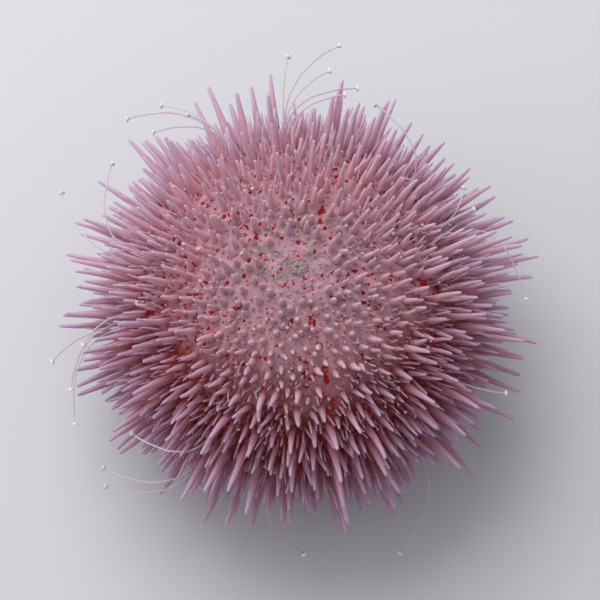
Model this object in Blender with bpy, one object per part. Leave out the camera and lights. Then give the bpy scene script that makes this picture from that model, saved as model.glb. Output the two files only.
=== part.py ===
"""A salmacis sea urchin at life size, standing on its lower spines. Metres, +Z up, floor at zero."""

import math
import random
from dataclasses import dataclass

import bmesh
import bpy
import numpy as np
from mathutils import Matrix, Vector

MM = 0.001

# The shell, which is a squashed globe: rounder above its widest ring, flatter below it
SHELL_RADIUS = 35.0 * MM
CROWN_RISE = 26.0 * MM  # top above the widest ring
BELLY_DROP = 19.0 * MM  # underside below the widest ring
CROWN_ROUNDNESS = 2.1
BELLY_ROUNDNESS = 2.6
WIDEST_HEIGHT = 27.0 * MM  # above the floor
MERIDIAN_SAMPLES = 721

# The five-fold division, as plan angles in degrees
SECTOR_KINDS = (("ambulacrum", 33.0, 27.0), ("interambulacrum", 69.0, 45.0))
SECTOR_STEP = 72.0
COLUMNS = 40
SMALL_COLUMNS = 20
SHELL_ROWS = 15
GAP = 0.3 * MM
MERGE = 0.001 * MM
PARALLEL = 1e-18  # keeps the distance between two parallel stretches from dividing by zero

# The two openings of the shell
APICAL_RADIUS = 6.5 * MM
APICAL_DEPTH = 2.0 * MM
MOUTH_RADIUS = 10.5 * MM
MOUTH_DEPTH = 2.5 * MM

# The spines, which stand in rows along the plates of each sector, two columns of plates to a sector
SEED = 61
PLATE_STEP = 4.3 * MM  # down the shell
SPINE_STEP = 4.2 * MM  # across a plate
SECTOR_MARGIN = 1.35 * MM
SPINE_JITTER = 0.35 * MM
SPINE_SUNK = 1.5 * MM  # how deep a root goes into the shell
SPINE_SIDES = 4
SPINE_RADIUS = 0.85 * MM
SPINE_TIP_RADIUS = 0.32 * MM
SPINE_AIR = 0.32 * MM  # between one spine and the next
SPINE_TRIES = 14
LEAN_FIRST = 4.0  # degrees off the shell's normal, at the first try and at the last
LEAN_LAST = 17.0
LEAN_LEAST = 0.3  # share of the lean that a spine has at least
LENGTH_AT = (0.0, 0.22, 0.45, 0.6, 0.78, 0.9, 1.0)  # share of the way from the lid to the mouth
LENGTH = (4.0 * MM, 8.0 * MM, 12.5 * MM, 13.5 * MM, 13.5 * MM, 12.5 * MM, 9.0 * MM)
LENGTH_SHARES = (1.0, 0.72, 0.9)
LENGTH_SPREAD = 0.1
SHORTEST_SHARE = 0.55
TRIMS = (1.0, 0.86, 0.82)  # shares that the tips are drawn back to, so that fewer stand out of the outline
TRIMMED_TO = 0.72  # share of the way from the lid to the mouth, past which spines keep their full length

# The small spines that fill the crown between the rows
SMALL_TRIES = 8000
SMALL_REACH = 24.0 * MM  # how far down the shell they go
SMALL_MARGIN = 1.1 * MM
SMALL_LENGTH = (3.0 * MM, 5.0 * MM)  # at the lid and at their last ring
SMALL_SIDES = 3
SMALL_RADIUS = 0.62 * MM
SMALL_TIP_RADIUS = 0.0
SMALL_AIR = (2.2 * MM, 0.85 * MM)  # at the first try and at the last
SMALL_LEAN = 8.0  # degrees off the shell's normal at the most

# The camera of the photo, for what is placed by where it shows there
CAMERA_RISE = math.radians(72.0)
CENTRE_HEIGHT = 29.7 * MM  # of the point on the axis that the photo is centred on

# Tips of the longest spines round the outline: right and up in the photo from its centre, and height over the floor
LONG_TIPS = (
    (49.2, -8.2, 26.0),
    (48.4, 5.4, 28.0),
    (49.6, 9.7, 31.0),
    (47.8, 13.4, 26.0),
    (44.5, 17.1, 29.0),
    (40.8, 22.2, 32.0),
    (32.3, 29.0, 33.0),
    (30.3, 33.4, 35.0),
    (23.5, 37.5, 34.0),
    (-5.8, 47.6, 36.0),
    (-18.7, 44.9, 37.0),
    (-21.6, 42.0, 33.0),
    (-35.2, 34.0, 33.0),
    (-41.4, 25.3, 31.0),
    (-46.1, 16.7, 30.0),
    (-48.0, 10.1, 27.0),
    (-48.4, -2.5, 29.0),
    (-49.6, -4.7, 24.0),
    (-45.5, -19.0, 22.0),
    (-37.3, -30.1, 20.0),
    (-28.4, -39.3, 18.0),
    (-8.2, -39.3, 22.0),
    (-3.1, -45.7, 16.0),
    (9.1, -47.0, 16.0),
    (21.8, -41.8, 17.0),
    (36.5, -35.8, 18.0),
    (44.5, -23.9, 22.0),
    (45.9, -18.3, 25.0),
)

# Tips of the tube feet that show, measured the same way
FOOT_TIPS = (
    (-2.1, 51.1, 38.0),
    (4.9, 54.2, 40.0),
    (6.6, 48.0, 41.0),
    (8.7, 53.6, 35.0),
    (9.7, 42.8, 46.0),
    (12.4, 44.3, 42.0),
    (15.9, 40.8, 44.0),
    (19.0, 38.7, 45.0),
    (-28.4, 40.8, 38.0),
    (-22.7, 38.7, 44.0),
    (-35.6, 38.1, 34.0),
    (-29.9, 35.0, 43.0),
    (-38.3, 28.8, 38.0),
    (-49.0, 22.9, 30.0),
    (-39.3, 20.2, 40.0),
    (-50.7, -12.2, 26.0),
    (-43.9, -8.7, 36.0),
    (-46.6, -17.9, 28.0),
    (-45.9, -25.1, 22.0),
    (-39.8, -24.5, 27.0),
    (-34.0, -26.6, 31.0),
    (-39.8, -37.9, 14.0),
    (-40.2, -34.0, 19.0),
    (34.0, 23.7, 42.0),
    (36.1, 19.2, 44.0),
    (46.8, 0.6, 33.0),
    (42.6, -18.5, 30.0),
    (1.4, -51.9, 10.0),
    (21.0, -51.9, 9.0),
)
PORE_ANGLE = 10.2  # degrees from the middle of its sector to a row of tube feet
FOOT_LIFT = 3.0 * MM  # how much nearer the top a foot's root is than the spot nearest to its tip
FOOT_BEND = 0.6  # share of its length that a foot goes straight out before it bends
FOOT_SUNK = 1.2 * MM  # how deep its root goes into the shell
FOOT_STEPS = 4
FOOT_SIDES = 4
FOOT_RADIUS = 0.3 * MM
FOOT_AIR = 0.32 * MM  # between a foot and what is beside it
SUCKER_RADIUS = 0.6 * MM
SUCKER_THICK = 0.35 * MM

# The tube feet of the underside, which reach down to the floor
LOW_FOOT_DISTANCES = (0.78, 0.9)  # share of the way from the lid to the mouth
LOW_FOOT_OUT = 3.5 * MM
LOW_FOOT_TIP = 0.9 * MM

# The lid of plates at the top and the vent in its middle
PERIPROCT_RADIUS = 2.3 * MM
PERIPROCT_DEPTH = 1.0 * MM
PERIPROCT_RISE = 0.5 * MM
VENT_RADIUS = 0.7 * MM
PLATE_RISE = 0.35 * MM
PLATE_ROOT = 0.8 * MM
GENITAL_SPAN = (2.6 * MM, 5.3 * MM, 52.0)
OCULAR_SPAN = (4.6 * MM, 6.1 * MM, 17.0)

# The mouth's skin, the hole in it and the five teeth
LIP_RADIUS = 3.6 * MM
LIP_DROP = 0.7 * MM
MOUTH_HOLE_RADIUS = 2.4 * MM
MOUTH_HOLE_DEPTH = 1.4 * MM
TOOTH_LENGTH = 2.6 * MM
TOOTH_RADIUS = 0.72 * MM
TOOTH_TIP_RADIUS = 0.3 * MM
TOOTH_OUT = 1.25 * MM
TOOTH_TIP_OUT = 0.62 * MM
TOOTH_SIDES = 4

MATERIALS = {
    "ambulacrum": ((0.55, 0.33, 0.38, 1.0), 0.6),
    "interambulacrum": ((0.58, 0.36, 0.42, 1.0), 0.6),
    "apical_disc": ((0.52, 0.36, 0.38, 1.0), 0.55),
    "periproct": ((0.38, 0.38, 0.33, 1.0), 0.6),
    "peristome": ((0.50, 0.28, 0.26, 1.0), 0.5),
    "tooth": ((0.85, 0.82, 0.74, 1.0), 0.35),
}


def meridian():
    """Radius, height, outward slope, upward slope and distance from the top, along the shell from top to underside."""
    angle = np.linspace(math.pi / 2, -math.pi / 2, MERIDIAN_SAMPLES)
    above = angle >= 0
    power = np.where(above, CROWN_ROUNDNESS, BELLY_ROUNDNESS)
    depth = np.where(above, CROWN_RISE, BELLY_DROP)
    across = np.clip(np.cos(angle), 0, 1) ** (2 / power)
    along = np.abs(np.sin(angle)) ** (2 / power)
    radius = SHELL_RADIUS * across
    height = WIDEST_HEIGHT + np.sign(angle) * depth * along
    outward = across ** (power - 1) / SHELL_RADIUS
    upward = np.sign(angle) * along ** (power - 1) / depth
    size = np.hypot(outward, upward)
    steps = np.hypot(np.diff(radius), np.diff(height))
    distance = np.concatenate(([0.0], np.cumsum(steps)))
    return radius, height, outward / size, upward / size, distance


RADIUS, HEIGHT, OUTWARD, UPWARD, DISTANCE = meridian()


def at_distance(distance):
    """Radius, height and the two slopes of the shell at a distance from its top."""
    return tuple(float(np.interp(distance, DISTANCE, values)) for values in (RADIUS, HEIGHT, OUTWARD, UPWARD))


def distance_at_radius(radius, below):
    """Distance from the top where the shell has a radius, above or below its widest ring."""
    half = UPWARD < 0 if below else UPWARD > 0
    order = np.argsort(RADIUS[half])
    return float(np.interp(radius, RADIUS[half][order], DISTANCE[half][order]))


TOP = distance_at_radius(APICAL_RADIUS, below=False)
BOTTOM = distance_at_radius(MOUTH_RADIUS, below=True)


def surface(distance, azimuth):
    """Point and outward direction of the shell at a distance from its top and a plan angle in radians."""
    radius, height, outward, upward = at_distance(distance)
    plan = Vector((math.cos(azimuth), math.sin(azimuth), 0.0))
    return plan * radius + Vector((0.0, 0.0, height)), plan * outward + Vector((0.0, 0.0, upward))


def photo_point(right, up, height):
    """The point at a height over the floor that the photo shows this far right of and above its centre."""
    ahead = (up - (height - CENTRE_HEIGHT) * math.cos(CAMERA_RISE)) / math.sin(CAMERA_RISE)
    return Vector((right, ahead, height))


def nearest_distance(point):
    """Distance from the top of the spot on the shell that is nearest to a point outside it."""
    gaps = np.hypot(RADIUS - math.hypot(point.x, point.y), HEIGHT - point.z)
    return float(np.clip(DISTANCE[int(np.argmin(gaps))], TOP + SECTOR_MARGIN, BOTTOM - SECTOR_MARGIN))


def wrapped(angle):
    """An angle in degrees, brought to between -180 and 180."""
    return (angle + 180.0) % 360.0 - 180.0


def sector_at(azimuth):
    """Name and middle of the sector at a plan angle in degrees, the angle from that middle, and the sector's width."""
    for kind, first, width in SECTOR_KINDS:
        for number in range(5):
            middle = first + number * SECTOR_STEP
            if abs(wrapped(azimuth - middle)) <= width / 2:
                return f"{kind}_{number + 1}", middle, wrapped(azimuth - middle), width
    raise ValueError(f"no sector at {azimuth}")


@dataclass
class Spine:
    """A straight tapered spine, from the shell's surface to its tip."""

    node: str
    root: Vector
    tip: Vector
    radius: float = SPINE_RADIUS
    tip_radius: float = SPINE_TIP_RADIUS
    sides: int = SPINE_SIDES


@dataclass
class Foot:
    """A tube foot that leaves the shell straight at its root and bends over to the tip."""

    node: str
    root: Vector
    bend: Vector
    tip: Vector

    def path(self, steps):
        """Points along its middle, from the shell's surface to its sucker."""
        shares = [step / steps for step in range(steps + 1)]
        return [self.root * (1 - s) ** 2 + self.bend * (2 * s * (1 - s)) + self.tip * s**2 for s in shares]


class Crowd:
    """The tapered stretches already placed, which a new one has to keep clear of."""

    def __init__(self):
        self.starts, self.ends, self.radii = [], [], []

    def add(self, start, end, start_radius, end_radius):
        self.starts.append(tuple(start))
        self.ends.append(tuple(end))
        self.radii.append((start_radius, end_radius))

    def air(self, start, end, start_radius, end_radius):
        """Smallest gap between a new stretch and those already placed."""
        if not self.starts:
            return math.inf
        starts, ends, radii = np.array(self.starts), np.array(self.ends), np.array(self.radii)
        own, others = np.array(end - start), ends - starts
        between = np.array(start) - starts
        own_square, other_square = own @ own, np.sum(others * others, axis=1)
        cross = others @ own
        own_part, other_part = between @ own, np.sum(others * between, axis=1)
        spread = np.maximum(own_square * other_square - cross * cross, PARALLEL)
        near = np.clip((cross * other_part - own_part * other_square) / spread, 0, 1)
        far = np.clip((cross * near + other_part) / other_square, 0, 1)
        near = np.clip((cross * far - own_part) / own_square, 0, 1)
        gaps = np.linalg.norm(between + near[:, None] * own - far[:, None] * others, axis=1)
        thick = start_radius + (end_radius - start_radius) * near
        other_thick = radii[:, 0] + (radii[:, 1] - radii[:, 0]) * far
        return float(np.min(gaps - thick - other_thick))


def grow_long_spines(crowd):
    """The longest spines, each from the spot on the shell that is nearest to where the photo shows its tip."""
    spines = []
    for right, up, height in LONG_TIPS:
        tip = photo_point(right * MM, up * MM, height * MM)
        distance = nearest_distance(tip)
        node, middle, angle, width = sector_at(math.degrees(math.atan2(tip.y, tip.x)))
        edge = width / 2 - math.degrees(SECTOR_MARGIN / at_distance(distance)[0])
        root, normal = surface(distance, math.radians(middle + max(-edge, min(edge, angle))))
        if crowd.air(root, tip, SPINE_RADIUS, SPINE_TIP_RADIUS) < SPINE_AIR:
            continue
        crowd.add(root, tip, SPINE_RADIUS, SPINE_TIP_RADIUS)
        spines.append(Spine(node, root, tip))
    return spines


def place_foot(node, root, normal, tip, crowd):
    """A tube foot, or nothing where it would touch what is already there."""
    foot = Foot(node, root, root + normal * (tip - root).length * FOOT_BEND, tip)
    path = foot.path(FOOT_STEPS)
    stretches = list(zip(path, path[1:]))
    widths = [FOOT_RADIUS] * (len(stretches) - 1) + [SUCKER_RADIUS]
    if min(crowd.air(a, b, width, width) for (a, b), width in zip(stretches, widths)) < FOOT_AIR:
        return []
    for (a, b), width in zip(stretches, widths):
        crowd.add(a, b, width, width)
    return [foot]


def grow_feet(crowd):
    """The tube feet that the photo shows, and those of the underside, each from the nearest row of pores."""
    feet = []
    kind, first = SECTOR_KINDS[0][:2]
    rows = [(number, first + number * SECTOR_STEP + side * PORE_ANGLE) for number in range(5) for side in (-1, 1)]
    for right, up, height in FOOT_TIPS:
        tip = photo_point(right * MM, up * MM, height * MM)
        azimuth = math.degrees(math.atan2(tip.y, tip.x))
        number, row = min(rows, key=lambda item: abs(wrapped(item[1] - azimuth)))
        distance = max(nearest_distance(tip) - FOOT_LIFT, TOP + SECTOR_MARGIN)
        root, normal = surface(distance, math.radians(row))
        feet += place_foot(f"{kind}_{number + 1}", root, normal, tip, crowd)
    for number, row in rows:
        for share in LOW_FOOT_DISTANCES:
            root, normal = surface(TOP + (BOTTOM - TOP) * share, math.radians(row))
            plan = Vector((math.cos(math.radians(row)), math.sin(math.radians(row)), 0.0))
            tip = Vector((root.x, root.y, 0.0)) + plan * LOW_FOOT_OUT
            tip.z = LOW_FOOT_TIP
            feet += place_foot(f"{kind}_{number + 1}", root, normal, tip, crowd)
    return feet


def spine_roots(rng):
    """Every place for a spine, as its node, distance from the top and plan angle in radians."""
    for kind, first, width in SECTOR_KINDS:
        for number in range(5):
            middle = first + number * SECTOR_STEP
            for side in (-1, 1):
                distance = TOP + SECTOR_MARGIN + (PLATE_STEP / 2 if side > 0 else 0.0)
                while distance < BOTTOM - SECTOR_MARGIN:
                    radius = at_distance(distance)[0]
                    across = math.radians(width / 2) * radius - SECTOR_MARGIN
                    count = max(1, round(across / SPINE_STEP))
                    for place in range(count):
                        offset = (place + 0.5) / count * across + rng.uniform(-1, 1) * SPINE_JITTER
                        azimuth = math.radians(middle) + side * min(offset, across) / radius
                        shifted = distance + rng.uniform(-1, 1) * SPINE_JITTER
                        yield f"{kind}_{number + 1}", shifted, azimuth
                    distance += PLATE_STEP


def grow_spines(crowd, rng):
    """The rows of spines, each leaning a little at random, and more where it has to clear its neighbours."""
    spines = []
    for index, (node, distance, azimuth) in enumerate(spine_roots(rng)):
        root, normal = surface(distance, azimuth)
        share = (distance - TOP) / (BOTTOM - TOP)
        length = float(np.interp(share, LENGTH_AT, LENGTH)) * LENGTH_SHARES[index % len(LENGTH_SHARES)]
        length *= 1 + rng.uniform(-1, 1) * LENGTH_SPREAD
        for attempt in range(SPINE_TRIES):
            part = attempt / (SPINE_TRIES - 1)
            lean = math.tan(math.radians(LEAN_FIRST + (LEAN_LAST - LEAN_FIRST) * part))
            sideways = normal.orthogonal().normalized()
            sideways.rotate(Matrix.Rotation(rng.uniform(0, 2 * math.pi), 3, normal))
            direction = (normal + sideways * lean * rng.uniform(LEAN_LEAST, 1.0)).normalized()
            tip = root + direction * length * (1 - (1 - SHORTEST_SHARE) * part)
            if crowd.air(root, tip, SPINE_RADIUS, SPINE_TIP_RADIUS) >= SPINE_AIR:
                crowd.add(root, tip, SPINE_RADIUS, SPINE_TIP_RADIUS)
                if share < TRIMMED_TO:
                    tip = root.lerp(tip, TRIMS[index % len(TRIMS)])
                spines.append(Spine(node, root, tip))
                break
    return spines


def grow_small_spines(crowd, rng):
    """Small spines at random places on the crown, wherever they clear what already stands there."""
    spines = []
    for attempt in range(SMALL_TRIES):
        first, part = TOP + SMALL_MARGIN, rng.random()
        distance = math.sqrt(first**2 + (SMALL_REACH**2 - first**2) * part)
        azimuth = rng.uniform(-180.0, 180.0)
        node, middle, angle, width = sector_at(azimuth)
        if math.radians(width / 2 - abs(angle)) * at_distance(distance)[0] < SMALL_MARGIN:
            continue
        root, normal = surface(distance, math.radians(azimuth))
        sideways = normal.orthogonal().normalized()
        sideways.rotate(Matrix.Rotation(rng.uniform(0, 2 * math.pi), 3, normal))
        direction = (normal + sideways * math.tan(math.radians(SMALL_LEAN)) * rng.random()).normalized()
        length = SMALL_LENGTH[0] + (SMALL_LENGTH[1] - SMALL_LENGTH[0]) * (distance - first) / (SMALL_REACH - first)
        tip = root + direction * length * (1 + rng.uniform(-1, 1) * LENGTH_SPREAD)
        air = SMALL_AIR[0] + (SMALL_AIR[1] - SMALL_AIR[0]) * attempt / SMALL_TRIES
        if crowd.air(root, tip, SMALL_RADIUS, SMALL_TIP_RADIUS) >= air:
            crowd.add(root, tip, SMALL_RADIUS, SMALL_TIP_RADIUS)
            spines.append(Spine(node, root, tip, SMALL_RADIUS, SMALL_TIP_RADIUS, SMALL_SIDES))
    return spines


def spine_solid(spine):
    """A tapered spine of few sides with its root sunk into the shell, cut flat where it meets the floor."""
    direction = (spine.tip - spine.root).normalized()
    start = spine.root - direction * SPINE_SUNK
    length = (spine.tip - start).length
    turn = direction.to_track_quat("Z", "Y").to_matrix().to_4x4()
    bm = bmesh.new()
    bmesh.ops.create_cone(
        bm,
        cap_ends=True,
        segments=spine.sides,
        radius1=spine.radius,
        radius2=spine.tip_radius,
        depth=length,
        matrix=Matrix.Translation((start + spine.tip) / 2) @ turn,
    )
    if min(v.co.z for v in bm.verts) < 0:
        cut_away(bm, Vector((0.0, 0.0, 0.0)), Vector((0.0, 0.0, -1.0)))
    return bm


def foot_solid(foot):
    """A thin curved stalk with a round sucker at its end."""
    path = foot.path(FOOT_STEPS)
    ends = path[-1]
    along = (ends - path[-2]).normalized()
    stations = [(foot.root - (foot.bend - foot.root).normalized() * FOOT_SUNK, FOOT_RADIUS)]
    stations += [(point, FOOT_RADIUS) for point in path[1:-1]]
    stations += [
        (ends - along * SUCKER_THICK * 2, FOOT_RADIUS),
        (ends - along * SUCKER_THICK, SUCKER_RADIUS),
        (ends, SUCKER_RADIUS),
    ]
    bm = bmesh.new()
    points = [point for point, radius in stations]
    ring = []
    for index, (point, radius) in enumerate(stations):
        before, after = points[max(index - 1, 0)], points[min(index + 1, len(points) - 1)]
        turn = (after - before).normalized().to_track_quat("Z", "Y").to_matrix().to_4x4()
        place = Matrix.Translation(point) @ turn
        made = bmesh.ops.create_circle(
            bm, cap_ends=index in (0, len(stations) - 1), segments=FOOT_SIDES, radius=radius, matrix=place
        )
        edges = list({edge for vert in made["verts"] for edge in vert.link_edges})
        if ring:
            bmesh.ops.bridge_loops(bm, edges=ring + edges)
        ring = edges
    return bm


def make_material(name, colour, roughness):
    material = bpy.data.materials.new(name)
    material.use_nodes = True
    shader = material.node_tree.nodes["Principled BSDF"]
    shader.inputs["Base Color"].default_value = colour
    shader.inputs["Roughness"].default_value = roughness
    return material


def add_object(bm, name, kind, collection):
    """Turns a bmesh into an object of its own material."""
    bmesh.ops.recalc_face_normals(bm, faces=bm.faces)
    mesh = bpy.data.meshes.new(name)
    bm.to_mesh(mesh)
    bm.free()
    item = bpy.data.objects.new(name, mesh)
    collection.objects.link(item)
    colour, roughness = MATERIALS[kind]
    mesh.materials.append(make_material(name, colour, roughness))
    return item


def lathe(outline, steps):
    """A closed solid of revolution from an outline of radii and heights that starts and ends on the axis."""
    bm = bmesh.new()
    corners = [bm.verts.new((radius, 0.0, height)) for radius, height in outline]
    edges = [bm.edges.new(pair) for pair in zip(corners, corners[1:])]
    bmesh.ops.spin(
        bm,
        geom=corners + edges,
        cent=(0.0, 0.0, 0.0),
        axis=(0.0, 0.0, 1.0),
        angle=2 * math.pi,
        steps=steps,
    )
    bmesh.ops.remove_doubles(bm, verts=bm.verts, dist=MERGE)
    return bm


def cut_away(bm, point, direction):
    """Removes what lies past a plane and closes the cut."""
    cut = bmesh.ops.bisect_plane(
        bm,
        geom=bm.verts[:] + bm.edges[:] + bm.faces[:],
        dist=MERGE,
        plane_co=point,
        plane_no=direction,
        clear_outer=True,
    )
    rim = [item for item in cut["geom_cut"] if isinstance(item, bmesh.types.BMEdge)]
    bmesh.ops.holes_fill(bm, edges=rim)


def cut_to_sector(bm, centre, width):
    """Keeps one sector of a solid, half a gap inside both of its cut planes. Angles in degrees."""
    for side in (-1, 1):
        angle = math.radians(centre + side * width / 2)
        direction = Vector((-math.sin(angle), math.cos(angle), 0.0)) * side
        cut_away(bm, direction * (-GAP / 2), direction)


def shell_outline():
    """Outline of the shell with its two openings sunk into it."""
    lid_height = at_distance(TOP)[1] - APICAL_DEPTH
    mouth_height = at_distance(BOTTOM)[1] + MOUTH_DEPTH
    points = [(0.0, lid_height), (APICAL_RADIUS, lid_height)]
    points += [at_distance(distance)[:2] for distance in np.linspace(TOP, BOTTOM, SHELL_ROWS)]
    points += [(MOUTH_RADIUS, mouth_height), (0.0, mouth_height)]
    return points


def add_sectors(collection):
    """The ten sectors of the shell, five with tube feet and five between them, with all that grows on each."""
    rng = random.Random(SEED)
    crowd = Crowd()
    grown = [(spine.node, spine_solid(spine)) for spine in grow_long_spines(crowd)]
    grown += [(foot.node, foot_solid(foot)) for foot in grow_feet(crowd)]
    grown += [(spine.node, spine_solid(spine)) for spine in grow_spines(crowd, rng) + grow_small_spines(crowd, rng)]
    for kind, first, width in SECTOR_KINDS:
        for number in range(5):
            bm = lathe(shell_outline(), COLUMNS)
            cut_to_sector(bm, first + number * SECTOR_STEP, width)
            item = add_object(bm, f"{kind}_{number + 1}", kind, collection)
            unite(item, [piece for node, piece in grown if node == item.name])


def ring_block(inner, outer, low, high, centre, width):
    """A closed block of a ring, between two radii and heights, over a width in degrees."""
    bm = lathe([(0.0, low), (outer, low), (outer, high), (0.0, high)], SMALL_COLUMNS)
    cut_to_sector(bm, centre, width)
    middle = math.radians(centre)
    direction = Vector((-math.cos(middle), -math.sin(middle), 0.0))
    cut_away(bm, direction * -inner, direction)
    return bm


def unite(item, pieces):
    """Joins closed pieces to an object and removes them."""
    group = bpy.data.collections.new(item.name + "_pieces")
    for bm in pieces:
        mesh = bpy.data.meshes.new(group.name)
        bmesh.ops.recalc_face_normals(bm, faces=bm.faces)
        bm.to_mesh(mesh)
        bm.free()
        group.objects.link(bpy.data.objects.new(group.name, mesh))
    union = item.modifiers.new("union", "BOOLEAN")
    union.operation = "UNION"
    union.solver = "EXACT"
    union.operand_type = "COLLECTION"
    union.collection = group
    evaluated = item.evaluated_get(bpy.context.evaluated_depsgraph_get())
    joined = bpy.data.meshes.new_from_object(evaluated)
    item.modifiers.remove(union)
    item.data = joined
    for piece in list(group.objects):
        bpy.data.objects.remove(piece, do_unlink=True)
    bpy.data.collections.remove(group)
    keep_largest(joined)


def keep_largest(mesh):
    """Drops every closed surface of a mesh but the one with the most volume."""
    bm = bmesh.new()
    bm.from_mesh(mesh)
    left = set(bm.faces)
    surfaces = []
    while left:
        found = [left.pop()]
        for face in found:
            near = {other for edge in face.edges for other in edge.link_faces} & left
            left -= near
            found.extend(near)
        volume = sum(f.calc_area() * f.normal.dot(f.calc_center_median()) for f in found)
        surfaces.append((abs(volume), found))
    surfaces.sort(key=lambda item: item[0])
    for volume, found in surfaces[:-1]:
        bmesh.ops.delete(bm, geom=found, context="FACES")
    bmesh.ops.delete(bm, geom=[v for v in bm.verts if not v.link_faces], context="VERTS")
    bm.to_mesh(mesh)
    bm.free()


def add_top(collection):
    """The lid of plates in the upper opening, and the round vent in its middle."""
    edge_height = at_distance(TOP)[1]
    middle_height = HEIGHT[0]
    low = edge_height - APICAL_DEPTH + GAP
    rim = APICAL_RADIUS - GAP
    floor = middle_height - PERIPROCT_DEPTH
    outline = [
        (0.0, low),
        (rim, low),
        (rim, edge_height),
        (PERIPROCT_RADIUS, middle_height),
        (PERIPROCT_RADIUS, floor),
        (0.0, floor),
    ]
    lid = add_object(lathe(outline, SMALL_COLUMNS), "apical_disc", "apical_disc", collection)
    plates = []
    for number in range(5):
        for kind, span in (("interambulacrum", GENITAL_SPAN), ("ambulacrum", OCULAR_SPAN)):
            first = next(centre for name, centre, width in SECTOR_KINDS if name == kind)
            inner, outer, width = span
            share = (inner + outer) / 2 / APICAL_RADIUS
            height = middle_height + (edge_height - middle_height) * share
            block = ring_block(
                inner, outer, height - PLATE_ROOT, height + PLATE_RISE, first + number * SECTOR_STEP, width
            )
            plates.append(block)
    unite(lid, plates)

    rim = PERIPROCT_RADIUS - GAP
    outline = [
        (0.0, floor + GAP),
        (rim, floor + GAP),
        (rim, middle_height),
        (VENT_RADIUS, middle_height + PERIPROCT_RISE),
        (0.0, middle_height + PERIPROCT_RISE),
    ]
    add_object(lathe(outline, SMALL_COLUMNS), "periproct", "periproct", collection)


def add_mouth(collection):
    """The skin across the lower opening, with a lip round the mouth, and the five teeth in it."""
    edge_height = at_distance(BOTTOM)[1]
    high = edge_height + MOUTH_DEPTH - GAP
    rim = MOUTH_RADIUS - GAP
    ceiling = edge_height - LIP_DROP + MOUTH_HOLE_DEPTH
    outline = [
        (0.0, high),
        (rim, high),
        (rim, edge_height + LIP_DROP),
        (LIP_RADIUS, edge_height),
        (MOUTH_HOLE_RADIUS, edge_height - LIP_DROP),
        (MOUTH_HOLE_RADIUS, ceiling),
        (0.0, ceiling),
    ]
    add_object(lathe(outline, SMALL_COLUMNS), "peristome", "peristome", collection)

    for number in range(5):
        bm = bmesh.new()
        made = bmesh.ops.create_cone(
            bm,
            cap_ends=True,
            segments=TOOTH_SIDES,
            radius1=TOOTH_TIP_RADIUS,
            radius2=TOOTH_RADIUS,
            depth=TOOTH_LENGTH,
        )
        lean = Matrix.Identity(4)
        lean[0][2] = (TOOTH_OUT - TOOTH_TIP_OUT) / TOOTH_LENGTH
        middle = ((TOOTH_OUT + TOOTH_TIP_OUT) / 2, 0.0, ceiling - GAP - TOOTH_LENGTH / 2)
        angle = math.radians(SECTOR_KINDS[1][1] + number * SECTOR_STEP)
        turn = Matrix.Rotation(angle, 4, "Z")
        bmesh.ops.transform(bm, matrix=turn @ Matrix.Translation(middle) @ lean, verts=made["verts"])
        add_object(bm, f"tooth_{number + 1}", "tooth", collection)


def centre_on_origin(collection):
    """Moves every mesh so that the box of the whole is centred on the origin and stands on the floor."""
    corners = np.array([tuple(v.co) for item in collection.objects for v in item.data.vertices])
    low, high = corners.min(axis=0), corners.max(axis=0)
    shift = Vector((-(low[0] + high[0]) / 2, -(low[1] + high[1]) / 2, -low[2]))
    for item in collection.objects:
        item.data.transform(Matrix.Translation(shift))


def main():
    for item in list(bpy.data.objects):
        bpy.data.objects.remove(item, do_unlink=True)
    collection = bpy.data.collections.new("salmacis_sea_urchin")
    bpy.context.scene.collection.children.link(collection)
    add_sectors(collection)
    add_top(collection)
    add_mouth(collection)
    centre_on_origin(collection)


main()
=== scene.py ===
import functools
import math
import random
from dataclasses import dataclass

import bpy
import numpy as np
from bpy.props import FloatProperty, FloatVectorProperty, IntProperty, PointerProperty
from mathutils import Matrix, Vector


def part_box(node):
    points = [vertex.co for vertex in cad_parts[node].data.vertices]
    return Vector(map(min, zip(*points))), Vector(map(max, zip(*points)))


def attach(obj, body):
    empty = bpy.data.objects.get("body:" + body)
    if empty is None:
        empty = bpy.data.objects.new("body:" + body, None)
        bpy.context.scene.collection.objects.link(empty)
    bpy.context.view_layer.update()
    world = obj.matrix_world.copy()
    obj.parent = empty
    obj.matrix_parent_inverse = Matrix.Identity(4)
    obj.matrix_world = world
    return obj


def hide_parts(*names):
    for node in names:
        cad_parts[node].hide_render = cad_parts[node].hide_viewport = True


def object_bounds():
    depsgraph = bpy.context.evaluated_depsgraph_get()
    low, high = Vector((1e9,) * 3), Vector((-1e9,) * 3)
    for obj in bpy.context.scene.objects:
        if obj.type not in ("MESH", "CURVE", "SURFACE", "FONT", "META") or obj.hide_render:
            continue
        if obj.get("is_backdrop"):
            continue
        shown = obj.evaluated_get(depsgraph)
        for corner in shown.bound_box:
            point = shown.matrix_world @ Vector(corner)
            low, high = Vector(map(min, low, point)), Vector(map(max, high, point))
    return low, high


bl_info = {
    "name": "Salmacis Sea Urchin",
    "version": (1, 0, 0),
    "blender": (4, 5, 0),
    "location": "3D View > Sidebar > Urchin",
    "description": "Models a life-size sea urchin with its spines, tube feet and mouth on a studio floor",
    "category": "Add Mesh",
}

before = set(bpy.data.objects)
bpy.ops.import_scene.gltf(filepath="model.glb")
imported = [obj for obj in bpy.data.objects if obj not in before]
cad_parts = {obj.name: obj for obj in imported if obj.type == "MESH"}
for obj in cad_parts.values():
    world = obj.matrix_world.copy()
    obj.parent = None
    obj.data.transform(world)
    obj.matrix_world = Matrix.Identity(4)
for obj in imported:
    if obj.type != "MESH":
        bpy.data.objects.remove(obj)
CAD_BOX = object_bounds()
LID_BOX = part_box("apical_disc")
AXIS = Vector(((LID_BOX[0].x + LID_BOX[1].x) / 2, (LID_BOX[0].y + LID_BOX[1].y) / 2, 0.0))

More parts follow.
